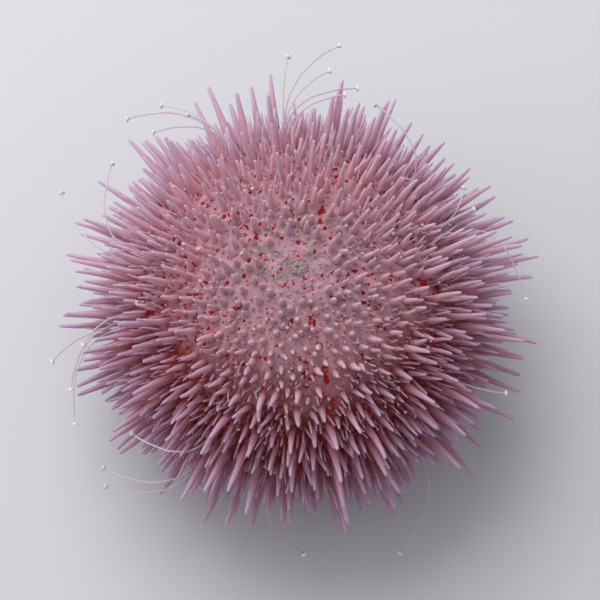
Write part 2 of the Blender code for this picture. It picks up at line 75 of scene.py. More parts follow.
MM = 0.001
TAU = 2 * math.pi

# The shell's profile and its five-fold division, as plan angles in degrees
CROWN_ROUNDNESS = 2.1
BELLY_ROUNDNESS = 2.6
MERIDIAN_SAMPLES = 721
SECTOR_KINDS = (("ambulacrum", 33.0, 27.0), ("interambulacrum", 69.0, 45.0))
SECTOR_STEP = 72.0
APICAL_RADIUS = 6.5 * MM
MOUTH_RADIUS = 10.5 * MM

# Seed of what grows, and height of a plate down a sector
SEED = 61
PLATE_STEP = 4.3 * MM

# The long spines, which stand where the solids have theirs
SPINE_STEP = 4.2 * MM
SECTOR_MARGIN = 1.35 * MM
SPINE_JITTER = 0.35 * MM
SPINE_RADIUS = 0.85 * MM
SPINE_TIP_RADIUS = 0.32 * MM
SPINE_AIR = 0.32 * MM
SPINE_TRIES = 14
LEAN_FIRST = 4.0
LEAN_LAST = 17.0
LEAN_LEAST = 0.3
LENGTH_AT = (0.0, 0.22, 0.45, 0.6, 0.78, 0.9, 1.0)
LENGTH = (4.0 * MM, 8.0 * MM, 12.5 * MM, 13.5 * MM, 13.5 * MM, 12.5 * MM, 9.0 * MM)
LENGTH_SHARES = (1.0, 0.72, 0.9)
LENGTH_SPREAD = 0.1
SHORTEST_SHARE = 0.55
TRIMS = (1.0, 0.86, 0.82)
TRIMMED_TO = 0.72
PARALLEL = 1e-18

CAMERA_RISE = math.radians(72.0)
CENTRE_HEIGHT = 29.7 * MM
PICTURE_PIXELS = 600

# Tips of the longest spines round the outline in mm: right and up in the picture, and height over the floor
LONG_TIPS = (
    (49.2, -8.2, 26.0), (48.4, 5.4, 28.0), (49.6, 9.7, 31.0), (47.8, 13.4, 26.0),
    (44.5, 17.1, 29.0), (40.8, 22.2, 32.0), (32.3, 29.0, 33.0), (30.3, 33.4, 35.0),
    (23.5, 37.5, 34.0), (-5.8, 47.6, 36.0), (-18.7, 44.9, 37.0), (-21.6, 42.0, 33.0),
    (-35.2, 34.0, 33.0), (-41.4, 25.3, 31.0), (-46.1, 16.7, 30.0), (-48.0, 10.1, 27.0),
    (-48.4, -2.5, 29.0), (-49.6, -4.7, 24.0), (-45.5, -19.0, 22.0), (-37.3, -30.1, 20.0),
    (-28.4, -39.3, 18.0), (-8.2, -39.3, 22.0), (-3.1, -45.7, 16.0), (9.1, -47.0, 16.0),
    (21.8, -41.8, 17.0), (36.5, -35.8, 18.0), (44.5, -23.9, 22.0), (45.9, -18.3, 25.0),
)

# Tips of the tube feet that show, measured the same way
FOOT_TIPS = (
    (-2.1, 51.1, 38.0), (4.9, 54.2, 40.0), (6.6, 48.0, 41.0), (8.7, 53.6, 35.0),
    (9.7, 42.8, 46.0), (12.4, 44.3, 42.0), (15.9, 40.8, 44.0), (19.0, 38.7, 45.0),
    (-28.4, 40.8, 38.0), (-22.7, 38.7, 44.0), (-35.6, 38.1, 34.0), (-29.9, 35.0, 43.0),
    (-38.3, 28.8, 38.0), (-49.0, 22.9, 30.0), (-39.3, 20.2, 40.0), (-50.7, -12.2, 26.0),
    (-43.9, -8.7, 36.0), (-46.6, -17.9, 28.0), (-45.9, -25.1, 22.0), (-39.8, -24.5, 27.0),
    (-34.0, -26.6, 31.0), (-39.8, -37.9, 14.0), (-40.2, -34.0, 19.0), (34.0, 23.7, 42.0),
    (36.1, 19.2, 44.0), (46.8, 0.6, 33.0), (42.6, -18.5, 30.0), (1.4, -51.9, 10.0),
    (21.0, -51.9, 9.0),
)

# The small spines of the crown, with their air at the first try and at the last
SMALL_TRIES = 8000
SMALL_REACH = 24.0 * MM
SMALL_MARGIN = 1.1 * MM
SMALL_LENGTH = (3.0 * MM, 5.0 * MM)
SMALL_RADIUS = 0.62 * MM
SMALL_AIR = (2.2 * MM, 0.85 * MM)
SMALL_LEAN = 8.0

# The tube feet, as stretches to keep clear of
PORE_ANGLE = 10.2
FOOT_LIFT = 3.0 * MM
FOOT_BEND = 0.6
FOOT_STEPS = 4
FOOT_RADIUS = 0.3 * MM
FOOT_AIR = 0.32 * MM
SUCKER_RADIUS = 0.6 * MM
LOW_FOOT_DISTANCES = (0.78, 0.9)
LOW_FOOT_OUT = 3.5 * MM
LOW_FOOT_TIP = 0.9 * MM

# Profiles of what is copied, from root to tip: place in own radii, place in own lengths, width in own radii
LONG_PROFILE = (
    (-0.9, 0.0, 1.6), (0.2, 0.0, 1.42), (0.65, 0.0, 1.14), (1.0, 0.0, 1.0),
    (1.35, 0.0, 1.1), (1.8, 0.0, 1.0), (0.9, 0.38, 0.8), (0.3, 0.72, 0.58),
    (0.0, 0.94, 0.43), (0.0, 0.985, 0.36), (0.0, 1.0, 0.17),
)
SHORT_PROFILE = (
    (-1.0, 0.0, 1.4), (0.6, 0.0, 1.15), (1.3, 0.06, 1.0),
    (0.0, 0.6, 0.7), (0.0, 0.95, 0.42), (0.0, 1.0, 0.18),
)
FINE_PROFILE = ((-1.0, 0.0, 1.4), (1.2, 0.1, 1.0), (0.0, 0.8, 0.65), (0.0, 1.0, 0.25))
PINCER_PROFILE = (
    (-1.0, 0.0, 1.0), (0.0, 0.7, 0.8), (0.0, 0.78, 1.9),
    (0.0, 0.86, 3.0), (0.0, 0.94, 2.6), (0.0, 1.0, 0.7),
)
# Profile of a sucker, as distance back from its end and width, both in its own radii
SUCKER_PROFILE = ((0.9, 0.0), (0.5, 0.55), (0.3, 0.95), (0.08, 1.0), (0.0, 0.8), (0.14, 0.35))

# Profiles of what is turned round an axis, as radius and height in mm
VENT_PROFILE = (
    (2.3, -0.9), (2.45, -0.25), (2.15, 0.02), (1.7, 0.16), (1.25, 0.3),
    (0.85, 0.46), (0.5, 0.44), (0.28, 0.3), (0.2, -0.1),
)
MOUTH_PROFILE = (
    (9.6, 2.1), (10.1, 1.5), (10.15, 0.75), (9.3, 0.62), (8.0, 0.5), (6.6, 0.36), (5.3, 0.15),
    (4.3, -0.05), (3.6, -0.35), (3.0, -0.62), (2.5, -0.5), (2.3, 0.1), (2.25, 0.7),
)
STUB_PROFILE = ((0.55, -0.5), (0.5, 0.6), (0.4, 1.1), (0.62, 1.4), (0.66, 1.6), (0.4, 1.66), (0.2, 1.5))

# The skin: its hole on top, how its two rims turn in, and the knob under a long spine
SKIN_HOLE = 2.0 * MM
SKIN_TURNED_DOWN = 0.8 * MM
SKIN_TURNED_IN = ((0.2, 0.5), (0.25, 2.2))
KNOB_WIDTH = 1.35 * MM
KNOBS_FULL_AT = 20 * MM
KNOB_LEAST = 0.25

# Random draws of the lid and of the vent
LID_SEED = 7
VENT_SEED = 11

# The ten plates of the lid: across, along and thick, and how far out they lie
LARGE_PLATE = (4.3 * MM, 3.3 * MM, 0.6 * MM)
LARGE_PLATE_AT = 4.15 * MM
SMALL_PLATE = (2.1 * MM, 1.5 * MM, 0.56 * MM)
SMALL_PLATE_AT = 5.55 * MM
PLATE_SUNK = 0.42 * MM
SIEVE_ROUGHNESS = 0.02 * MM

VENT_SCALES = 15
STUB_ANGLE = 14.0
STUB_AT = 5.6 * MM

# How a tooth goes down from its top: share of its length, width of its next ring, and millimetres inwards
TOOTH_STEPS = ((0.3, 1.0, 0.05), (0.3, 0.92, 0.1), (0.25, 0.72, 0.14), (0.13, 0.5, 0.08))
TOOTH_AT = 1.12 * MM

# The coat between the long spines: lengths by share of the way down, and room round what stands there already
COAT_LENGTH_AT = (0.0, 0.2, 0.5, 0.8, 1.0)
COAT_LENGTH = (2.2 * MM, 4.2 * MM, 7.5 * MM, 8.5 * MM, 5.0 * MM)
COAT_LONG_ROOM = 1.8 * MM
COAT_FOOT_ROOM = 0.9 * MM
COAT_EDGES = (0.3 * MM, 0.6 * MM)
PLACE_SAMPLES = 400

# Its three sizes of spine: tries, share of the usual length, sides, profile and number of pieces
COAT = {
    "middle": (4000, 1.0, 8, SHORT_PROFILE, 1),
    "short": (14000, 0.72, 6, SHORT_PROFILE, 2),
    "fine": (18000, 0.34, 5, FINE_PROFILE, 2),
}

# Young spines near the top are smaller, and a few short ones stand on the lid
YOUNG_AT = (8 * MM, 18 * MM)
YOUNG_SIZE = (0.65, 1.0)
LID_SPINE_TRIES = 500
LID_SPINE_ROOM = 1.5 * MM
LID_SPINE_FIRST = 2.9 * MM

# Drawn-in tube feet: room to the long spines' roots, and lengths in mm by share of the way down
SHORT_FOOT_ROOM = 1.25 * MM
SHORT_FOOT_LENGTH_AT = (0, 0.3, 0.7, 1)
SHORT_FOOT_LENGTH = (1.6, 2.8, 5.5, 4.0)

# Pincers: room to the long spines' roots, to the stretched feet's and to each other, and lengths in mm
PINCER_SPINE_ROOM = 2.4 * MM
PINCER_FOOT_ROOM = 1.4 * MM
PINCER_ROOM = 2.0 * MM
PINCER_RADIUS = 0.11 * MM
PINCER_LENGTH = (1.8, 3.2)
PINCER_BEND = 0.08

# The lane down each broad sector's upper side, bare of middle and short spines and of half the fine ones
LANE_WIDTH = 2.2 * MM
LANE_END = 30.0 * MM
LANE_FINE_SHARE = 0.5

# The studio: width of the floor, place of each light from the animal's middle and its width, and the sky
FLOOR_WIDTH = 6.0
KEY_LIGHT = ((-0.2, 0.38, 0.54), 0.6)
FILL_LIGHT = ((-0.6, 0.05, 0.3), 0.5)
SKY_COLOUR = (0.93, 0.94, 1.0, 1.0)

# How far right of and above the animal's middle the camera aims, in points of the picture
AIM_RIGHT = 2
AIM_UP = 3
CAMERA_REACH = 20.0

# Air under a corner and under a tip, and the least slope that counts as downward
FLOOR_AIR = 0.02 * MM
TIP_AIR = 0.12 * MM
DOWNWARD_LEAST = 1e-6

# A spine's patch on the unwrap, and the unwrap's bare edge
BAKE_PATCH = 0.003
BAKE_EDGE = 0.03


def number_setting(name, description, default, **kind):
    """A number in the sidebar, with its subtype and unit where it has them."""
    return FloatProperty(name=name, description=description, default=default, **kind)


def length_setting(name, description, default):
    """A length in the sidebar."""
    return number_setting(name, description, default, subtype="DISTANCE", unit="LENGTH")


def colour_setting(name, description, default):
    """A linear colour in the sidebar."""
    return FloatVectorProperty(name=name, description=description, default=default, subtype="COLOR", size=4)


class ShellSizes(bpy.types.PropertyGroup):
    """Sizes of the shell and its skin."""

    radius: length_setting("Radius", "Widest radius of the shell", 35 * MM)
    crown: length_setting("Crown", "Top above the widest ring", 26 * MM)
    belly: length_setting("Belly", "Underside below the widest ring", 19 * MM)
    height: length_setting("Height", "Widest ring above the floor", 27 * MM)
    columns: IntProperty(name="Columns", description="Faces round the skin", default=480)
    rows: IntProperty(name="Rows", description="Rows of faces down the skin", default=150)
    boss: length_setting("Boss", "Height of the knob under a long spine", 0.45 * MM)


class SpineSizes(bpy.types.PropertyGroup):
    """Sizes of the spines."""

    middle_radius: length_setting("Middle radius", "Radius of a middle spine", 0.62 * MM)
    short_radius: length_setting("Short radius", "Radius of a short spine", 0.31 * MM)
    fine_radius: length_setting("Fine radius", "Radius of a fine spine", 0.16 * MM)
    middle_space: length_setting("Middle space", "Room round a middle spine's root", 1.9 * MM)
    short_space: length_setting("Short space", "Room round a short spine's root", 1.0 * MM)
    fine_space: length_setting("Fine space", "Room round a fine spine's root", 0.66 * MM)
    bend: number_setting("Bend", "Sideways bend of a spine, as a share of its length", 0.035)


class FootSizes(bpy.types.PropertyGroup):
    """Sizes of the tube feet and the pincers."""

    radius: length_setting("Stalk radius", "Radius of a tube foot's stalk", 0.17 * MM)
    sucker: length_setting("Sucker radius", "Radius of the disc at its end", 0.68 * MM)
    short_count: IntProperty(name="Short feet", description="Drawn-in tube feet a row of pores", default=18)
    pincers: IntProperty(name="Pincers", description="Stalked pincers in all", default=320)


class Colours(bpy.types.PropertyGroup):
    """Colours of the animal, as linear red, green and blue."""

    skin: colour_setting("Skin", "Skin on the crown", (0.46, 0.25, 0.31, 1))
    # Deep skin: dark red-brown, partly the skin's own colour and partly painted shade between the spines
    deep_skin_and_shade: colour_setting("Deep skin", "Skin low on the sides", (0.22, 0.014, 0.012, 1))
    pigment: colour_setting("Pigment", "Red blotches", (0.25, 0.004, 0.003, 1))
    spine: colour_setting("Spine", "Root of a spine", (0.72, 0.42, 0.50, 1))
    tip: colour_setting("Tip", "Tip of a spine", (0.64, 0.49, 0.64, 1))
    vent: colour_setting("Vent", "Skin round the vent", (0.30, 0.255, 0.245, 1))
    mouth: colour_setting("Mouth", "Skin round the mouth", (0.42, 0.20, 0.18, 1))
    tooth: colour_setting("Tooth", "Enamel of the teeth", (0.82, 0.79, 0.70, 1))
    foot: colour_setting("Foot", "Stalk of a tube foot", (0.78, 0.66, 0.74, 1))


class StageSizes(bpy.types.PropertyGroup):
    """The floor, the lights and the camera."""

    distance: length_setting("Camera distance", "From the animal's middle", 1.1)
    view_width: length_setting("View width", "Width that the picture shows", 123.6 * MM)
    floor: colour_setting("Floor", "Colour of the floor", (0.62, 0.62, 0.63, 1))
    key: number_setting("Key light", "Power of the large light", 4.3, subtype="POWER")
    fill: number_setting("Fill light", "Power of the side light", 0.8, subtype="POWER")
    sky: number_setting("Sky", "Strength of the light from all round", 0.5)


# Where things grow


def plan_point(azimuth, radius=1.0, height=0.0):
    """The point at a plan angle in radians, a radius and a height."""
    return Vector((math.cos(azimuth) * radius, math.sin(azimuth) * radius, height))


class Shell:
    """The squashed globe that everything grows on, as a profile from its top to its underside."""

    def __init__(self, radius, crown, belly, height):
        angle = np.linspace(math.pi / 2, -math.pi / 2, MERIDIAN_SAMPLES)
        above = angle >= 0
        power = np.where(above, CROWN_ROUNDNESS, BELLY_ROUNDNESS)
        depth = np.where(above, crown, belly)
        across = np.clip(np.cos(angle), 0, 1) ** (2 / power)
        along = np.abs(np.sin(angle)) ** (2 / power)
        self.radii = radius * across
        self.heights = height + np.sign(angle) * depth * along
        outward = across ** (power - 1) / radius
        upward = np.sign(angle) * along ** (power - 1) / depth
        size = np.hypot(outward, upward)
        self.outward, self.upward = outward / size, upward / size
        steps = np.hypot(np.diff(self.radii), np.diff(self.heights))
        self.distances = np.concatenate(([0.0], np.cumsum(steps)))
        self.top = self.distance_at_radius(APICAL_RADIUS, below=False)
        self.bottom = self.distance_at_radius(MOUTH_RADIUS, below=True)

    def at(self, distance):
        """Radius, height and the two slopes at a distance from the top."""
        values = (self.radii, self.heights, self.outward, self.upward)
        return tuple(np.interp(distance, self.distances, item) for item in values)

    def distance_at_radius(self, radius, below):
        """Distance from the top where the shell has a radius, above or below its widest ring."""
        half = self.upward < 0 if below else self.upward > 0
        order = np.argsort(self.radii[half])
        return float(np.interp(radius, self.radii[half][order], self.distances[half][order]))

    def surface(self, distance, azimuth):
        """Point and outward direction at a distance from the top and a plan angle in radians."""
        radius, height, outward, upward = self.at(distance)
        plan = plan_point(azimuth)
        return plan * radius + Vector((0.0, 0.0, height)), plan * outward + Vector((0.0, 0.0, upward))

    def surfaces(self, distances, azimuths):
        """The same for arrays of places, as two arrays of rows."""
        radius, height, outward, upward = self.at(distances)
        cosines, sines = np.cos(azimuths), np.sin(azimuths)
        points = np.stack((cosines * radius, sines * radius, height), axis=1)
        return points, np.stack((cosines * outward, sines * outward, upward), axis=1)

    def nearest_distance(self, point):
        """Distance from the top of the spot that is nearest to a point outside the shell."""
        gaps = np.hypot(self.radii - math.hypot(point.x, point.y), self.heights - point.z)
        found = self.distances[int(np.argmin(gaps))]
        return float(np.clip(found, self.top + SECTOR_MARGIN, self.bottom - SECTOR_MARGIN))


def picture_point(right, up, height):
    """The point at a height over the floor that the picture shows this far right of and above its centre."""
    ahead = (up - (height - CENTRE_HEIGHT) * math.cos(CAMERA_RISE)) / math.sin(CAMERA_RISE)
    return Vector((right, ahead, height))


def wrapped(angle):
    """An angle in degrees, brought to between -180 and 180."""
    return (angle + 180.0) % 360.0 - 180.0


def sector_at(azimuth):
    """Middle of the sector at a plan angle in degrees, the angle from it, and the sector's width."""
    for _, first, width in SECTOR_KINDS:
        for number in range(5):
            middle = first + number * SECTOR_STEP
            if abs(wrapped(azimuth - middle)) <= width / 2:
                return middle, wrapped(azimuth - middle), width
    raise ValueError(f"no sector at {azimuth}")


@dataclass
class Spine:
    """A straight tapered spine, from the shell's surface to its tip."""

    root: Vector
    tip: Vector
    distance: float
    azimuth: float


@dataclass
class Foot:
    """A tube foot that leaves the shell straight at its root and bends over to the tip."""

    root: Vector
    bend: Vector
    tip: Vector
    distance: float
    azimuth: float

    def path(self, steps):
        """Points along its middle, from the shell's surface to its sucker."""
        shares = [step / steps for step in range(steps + 1)]
        return [self.root * (1 - s) ** 2 + self.bend * (2 * s * (1 - s)) + self.tip * s**2 for s in shares]


class Crowd:
    """The tapered stretches already placed, which a new one has to keep clear of."""

    def __init__(self):
        self.starts, self.ends, self.radii = [], [], []

    def add(self, start, end, start_radius, end_radius):
        self.starts.append(tuple(start))
        self.ends.append(tuple(end))
        self.radii.append((start_radius, end_radius))

    def air(self, start, end, start_radius, end_radius):
        """Smallest gap between a new stretch and those already placed."""
        if not self.starts:
            return math.inf
        starts, ends, radii = np.array(self.starts), np.array(self.ends), np.array(self.radii)
        own, others = np.array(end - start), ends - starts
        between = np.array(start) - starts
        own_square, other_square = own @ own, np.sum(others * others, axis=1)
        cross = others @ own
        own_part, other_part = between @ own, np.sum(others * between, axis=1)
        spread = np.maximum(own_square * other_square - cross * cross, PARALLEL)
        near = np.clip((cross * other_part - own_part * other_square) / spread, 0, 1)
        far = np.clip((cross * near + other_part) / other_square, 0, 1)
        near = np.clip((cross * far - own_part) / own_square, 0, 1)
        gaps = np.linalg.norm(between + near[:, None] * own - far[:, None] * others, axis=1)
        thick = start_radius + (end_radius - start_radius) * near
        other_thick = radii[:, 0] + (radii[:, 1] - radii[:, 0]) * far
        return float(np.min(gaps - thick - other_thick))


def grow_outline_spines(shell, crowd):
    """The longest spines, each from the spot on the shell that is nearest to its tip."""
    spines = []
    for right, up, height in LONG_TIPS:
        tip = picture_point(right * MM, up * MM, height * MM)
        distance = shell.nearest_distance(tip)
        middle, angle, width = sector_at(math.degrees(math.atan2(tip.y, tip.x)))
        edge = width / 2 - math.degrees(SECTOR_MARGIN / shell.at(distance)[0])
        azimuth = math.radians(middle + max(-edge, min(edge, angle)))
        root = shell.surface(distance, azimuth)[0]
        if crowd.air(root, tip, SPINE_RADIUS, SPINE_TIP_RADIUS) < SPINE_AIR:
            continue
        crowd.add(root, tip, SPINE_RADIUS, SPINE_TIP_RADIUS)
        spines.append(Spine(root, tip, distance, azimuth))
    return spines


def place_foot(shell, distance, row, tip, crowd):
    """A tube foot, or nothing where it would touch what is already there."""
    root, normal = shell.surface(distance, math.radians(row))
    foot = Foot(root, root + normal * (tip - root).length * FOOT_BEND, tip, distance, math.radians(row))
    path = foot.path(FOOT_STEPS)
    stretches = list(zip(path, path[1:]))
    widths = [FOOT_RADIUS] * (len(stretches) - 1) + [SUCKER_RADIUS]
    if min(crowd.air(a, b, width, width) for (a, b), width in zip(stretches, widths)) < FOOT_AIR:
        return []
    for (a, b), width in zip(stretches, widths):
        crowd.add(a, b, width, width)
    return [foot]


def pore_rows():
    """Plan angles in degrees of the ten rows of tube feet."""
    first = SECTOR_KINDS[0][1]
    return [first + number * SECTOR_STEP + side * PORE_ANGLE for number in range(5) for side in (-1, 1)]


def grow_feet(shell, crowd):
    """The stretched tube feet, each from the nearest row of pores."""
    feet = []
    for right, up, height in FOOT_TIPS:
        tip = picture_point(right * MM, up * MM, height * MM)
        azimuth = math.degrees(math.atan2(tip.y, tip.x))
        row = min(pore_rows(), key=lambda item: abs(wrapped(item - azimuth)))
        distance = max(shell.nearest_distance(tip) - FOOT_LIFT, shell.top + SECTOR_MARGIN)
        feet += place_foot(shell, distance, row, tip, crowd)
    for row in pore_rows():
        for share in LOW_FOOT_DISTANCES:
            distance = shell.top + (shell.bottom - shell.top) * share
            root = shell.surface(distance, math.radians(row))[0]
            tip = Vector((root.x, root.y, 0.0)) + plan_point(math.radians(row)) * LOW_FOOT_OUT
            tip.z = LOW_FOOT_TIP
            feet += place_foot(shell, distance, row, tip, crowd)
    return feet


def spine_places(shell, rng):
    """Every place for a long spine, as its distance from the top and plan angle in radians."""
    for _, first, width in SECTOR_KINDS:
        for number in range(5):
            middle = first + number * SECTOR_STEP
            for side in (-1, 1):
                distance = shell.top + SECTOR_MARGIN + (PLATE_STEP / 2 if side > 0 else 0.0)
                while distance < shell.bottom - SECTOR_MARGIN:
                    radius = float(shell.at(distance)[0])
                    across = math.radians(width / 2) * radius - SECTOR_MARGIN
                    count = max(1, round(across / SPINE_STEP))
                    for place in range(count):
                        offset = (place + 0.5) / count * across + rng.uniform(-1, 1) * SPINE_JITTER
                        azimuth = math.radians(middle) + side * min(offset, across) / radius
                        yield distance + rng.uniform(-1, 1) * SPINE_JITTER, azimuth
                    distance += PLATE_STEP


def leaned(normal, turn, lean, share):
    """A direction that leans off a normal by a share of a lean, towards a turn round it in radians."""
    sideways = normal.orthogonal().normalized()
    sideways.rotate(Matrix.Rotation(turn, 3, normal))
    return (normal + sideways * lean * share).normalized()


def grow_spines(shell, crowd, rng):
    """The rows of long spines, each leaning a little, and more where it has to clear its neighbours."""
    spines = []
    for index, (distance, azimuth) in enumerate(spine_places(shell, rng)):
        root, normal = shell.surface(distance, azimuth)
        share = (distance - shell.top) / (shell.bottom - shell.top)
        length = float(np.interp(share, LENGTH_AT, LENGTH)) * LENGTH_SHARES[index % len(LENGTH_SHARES)]
        length *= 1 + rng.uniform(-1, 1) * LENGTH_SPREAD
        for attempt in range(SPINE_TRIES):
            part = attempt / (SPINE_TRIES - 1)
            lean = math.tan(math.radians(LEAN_FIRST + (LEAN_LAST - LEAN_FIRST) * part))
            direction = leaned(normal, rng.uniform(0, TAU), lean, rng.uniform(LEAN_LEAST, 1.0))
            tip = root + direction * length * (1 - (1 - SHORTEST_SHARE) * part)
            if crowd.air(root, tip, SPINE_RADIUS, SPINE_TIP_RADIUS) >= SPINE_AIR:
                crowd.add(root, tip, SPINE_RADIUS, SPINE_TIP_RADIUS)
                if share < TRIMMED_TO:
                    tip = root.lerp(tip, TRIMS[index % len(TRIMS)])
                spines.append(Spine(root, tip, distance, azimuth))
                break
    return spines


def grow_small_spines(shell, crowd, rng):
    """Small spines at random places on the crown, wherever they clear what already stands there."""
    spines = []
    first = shell.top + SMALL_MARGIN
    for attempt in range(SMALL_TRIES):
        distance = math.sqrt(first**2 + (SMALL_REACH**2 - first**2) * rng.random())
        turn = rng.uniform(-180.0, 180.0)
        angle, width = sector_at(turn)[1:]
        if math.radians(width / 2 - abs(angle)) * shell.at(distance)[0] < SMALL_MARGIN:
            continue
        azimuth = math.radians(turn)
        root, normal = shell.surface(distance, azimuth)
        direction = leaned(normal, rng.uniform(0, TAU), math.tan(math.radians(SMALL_LEAN)), rng.random())
        shortest, longest = SMALL_LENGTH
        length = shortest + (longest - shortest) * (distance - first) / (SMALL_REACH - first)
        tip = root + direction * length * (1 + rng.uniform(-1, 1) * LENGTH_SPREAD)
        air = SMALL_AIR[0] + (SMALL_AIR[1] - SMALL_AIR[0]) * attempt / SMALL_TRIES
        if crowd.air(root, tip, SMALL_RADIUS, 0.0) >= air:
            crowd.add(root, tip, SMALL_RADIUS, 0.0)
            spines.append(Spine(root, tip, distance, azimuth))
    return spines


@functools.lru_cache(maxsize=4)
def growth(radius, crown, belly, height):
    """The shell, its long spines, the small ones of the crown and its stretched tube feet."""
    shell = Shell(radius, crown, belly, height)
    crowd = Crowd()
    rng = random.Random(SEED)
    spines = grow_outline_spines(shell, crowd)
    feet = grow_feet(shell, crowd)
    spines += grow_spines(shell, crowd, rng)
    return shell, spines, grow_small_spines(shell, crowd, rng), feet


def grown(context):
    """The growth for the sizes in the sidebar."""
    sizes = context.scene.urchin_shell
    return growth(sizes.radius, sizes.crown, sizes.belly, sizes.height)


def roots_of(items):
    """Roots of spines or feet as an array of rows."""
    return np.array([tuple(item.root) for item in items])


def tips_of(items):
    """Tips of spines or feet as an array of rows."""
    return np.array([tuple(item.tip) for item in items])


def places_of(items):
    """Distances from the top and plan angles of spines or feet, as two arrays."""
    return np.array([item.distance for item in items]), np.array([item.azimuth for item in items])


class Ground:
    """Places on the shell that are taken, each with the room that it keeps to its neighbours."""

    def __init__(self, shell, seed):
        self.shell = shell
        self.rng = np.random.default_rng(seed)
        self.points = np.zeros((0, 3))
        self.rooms = np.zeros(0)

    def take(self, points, room):
        """Marks places as taken."""
        self.points = np.concatenate((self.points, points))
        self.rooms = np.concatenate((self.rooms, np.full(len(points), room)))

    def scatter(self, tries, room, first, last):
        """Places between two distances from the top, tried in turn, that keep their room to all others."""
        shell = self.shell
        distances = np.linspace(first, last, PLACE_SAMPLES)
        weights = np.cumsum(shell.at(distances)[0])
        picks = np.interp(self.rng.random(tries) * weights[-1], weights, distances)
        turns = self.rng.random(tries) * TAU
        points, normals = shell.surfaces(picks, turns)
        kept = []
        for index in range(tries):
            needed = (self.rooms + room) / 2
            if len(self.points) and np.any(np.sum((self.points - points[index]) ** 2, axis=1) < needed**2):
                continue
            self.take(points[index : index + 1], room)
            kept.append(index)
        return picks[kept], turns[kept], points[kept], normals[kept]


# Modelling


def deselect():
    """Leaves edit mode and leaves nothing selected."""
    if bpy.context.object and bpy.context.object.mode != "OBJECT":
        bpy.ops.object.mode_set(mode="OBJECT")
    bpy.ops.object.select_all(action="DESELECT")


def start_disc(name, sides, radius, height=0.0):
    """A flat round face in edit mode, selected all over, which the next steps extrude."""
    deselect()
    bpy.ops.mesh.primitive_circle_add(
        vertices=sides, radius=radius, fill_type="NGON", location=(0.0, 0.0, height)
    )
    item = bpy.context.object
    item.name = item.data.name = name
    bpy.ops.object.transform_apply(location=True, rotation=True, scale=True)
    bpy.ops.object.mode_set(mode="EDIT")
    bpy.ops.mesh.select_mode(type="FACE")
    bpy.ops.mesh.select_all(action="SELECT")
    return item


def extrude(rise, size, lengthways=1.0):
    """Extrudes the selected face up or down and makes it wider or narrower."""
    bpy.ops.mesh.extrude_region_move(TRANSFORM_OT_translate={"value": (0.0, 0.0, rise)})
    bpy.ops.transform.resize(value=(size, size * lengthways, 1.0))


def close_shape(smooth=True):
    """Turns the faces of the shape in edit mode outwards and goes back to object mode."""
    bpy.ops.mesh.select_all(action="SELECT")
    bpy.ops.mesh.normals_make_consistent(inside=False)
    bpy.ops.object.mode_set(mode="OBJECT")
    if smooth:
        bpy.ops.object.shade_smooth()


def turned_shape(name, sides, stations):
    """A closed round shape from stations of radius and height, the first and last closed by flat faces."""
    radius, height = stations[0]
    item = start_disc(name, sides, radius, height)
    for next_radius, next_height in stations[1:]:
        extrude(next_height - height, next_radius / radius)
        radius, height = next_radius, next_height
    close_shape()
    return item


def measured(profile, height=0.0):
    """A profile in millimetres as radii and heights in metres, lifted by a height."""
    return [(radius * MM, height + rise * MM) for radius, rise in profile]


def softened(stations):
    """The same profile with its corners cut, and twice as many stations."""
    pairs = list(zip(stations, stations[1:]))
    cut = [tuple(a + (b - a) * share for a, b in zip(*pair)) for pair in pairs for share in (0.25, 0.75)]
    return [stations[0]] + cut[1:-1] + [stations[-1]]


def smooth_over(item, levels):
    """Applies a Subdivision Surface modifier."""
    smooth = item.modifiers.new("smooth", "SUBSURF")
    smooth.levels = smooth.render_levels = levels
    bpy.context.view_layer.objects.active = item
    bpy.ops.object.modifier_apply(modifier=smooth.name)


def join(name, items):
    """Joins objects into the first one."""
    deselect()
    for item in items:
        item.select_set(True)
    bpy.context.view_layer.objects.active = items[0]
    bpy.ops.object.join()
    items[0].name = items[0].data.name = name
    return items[0]


def moved_copy(item, matrix):
    """A copy of an object with a mesh of its own, moved by a matrix that goes into the mesh."""
    copy = item.copy()
    copy.data = item.data.copy()
    bpy.context.scene.collection.objects.link(copy)
    copy.data.transform(matrix)
    return copy


def points_of(item):
    """Corners of an object's mesh as an array of rows."""
    flat = np.zeros(len(item.data.vertices) * 3)
    item.data.vertices.foreach_get("co", flat)
    return flat.reshape(-1, 3)


def set_points(item, points):
    """Puts an array of rows back as the corners of an object's mesh."""
    item.data.vertices.foreach_set("co", points.ravel())
    item.data.update()


def numbers_of(items, name):
    """One whole number from each loop or face, as an array."""
    numbers = np.zeros(len(items), np.int64)
    items.foreach_get(name, numbers)
    return numbers


def set_on_axis(item):
    """Moves a piece that was made round the origin to the animal's axis."""
    set_points(item, points_of(item) + np.array(AXIS))


def set_values(item, name, values):
    """Stores one number for each corner."""
    attribute = item.data.attributes.new(name, "FLOAT", "POINT")
    attribute.data.foreach_set("value", np.asarray(values, np.float32))


def set_uv(item, name, pairs):
    """Stores a UV map, one pair for each loop."""
    layer = item.data.uv_layers.new(name=name)
    layer.data.foreach_set("uv", np.asarray(pairs, np.float32).ravel())


def bake_place(shell, distances, azimuths):
    """Place on the skin's own unwrap: round it from left to right, and down it from edge to edge."""
    across = np.mod(azimuths / TAU, 1.0)
    down = BAKE_EDGE + (1 - 2 * BAKE_EDGE) * distances / shell.distances[-1]
    return np.stack((across, down), axis=-1)


@dataclass
class Template:
    """What is copied many times: corners in own radii, rings by number, and loops with their own grain."""

    corners: np.ndarray
    rings: np.ndarray
    loops: np.ndarray
    starts: np.ndarray
    totals: np.ndarray
    grain: np.ndarray
    profile: np.ndarray


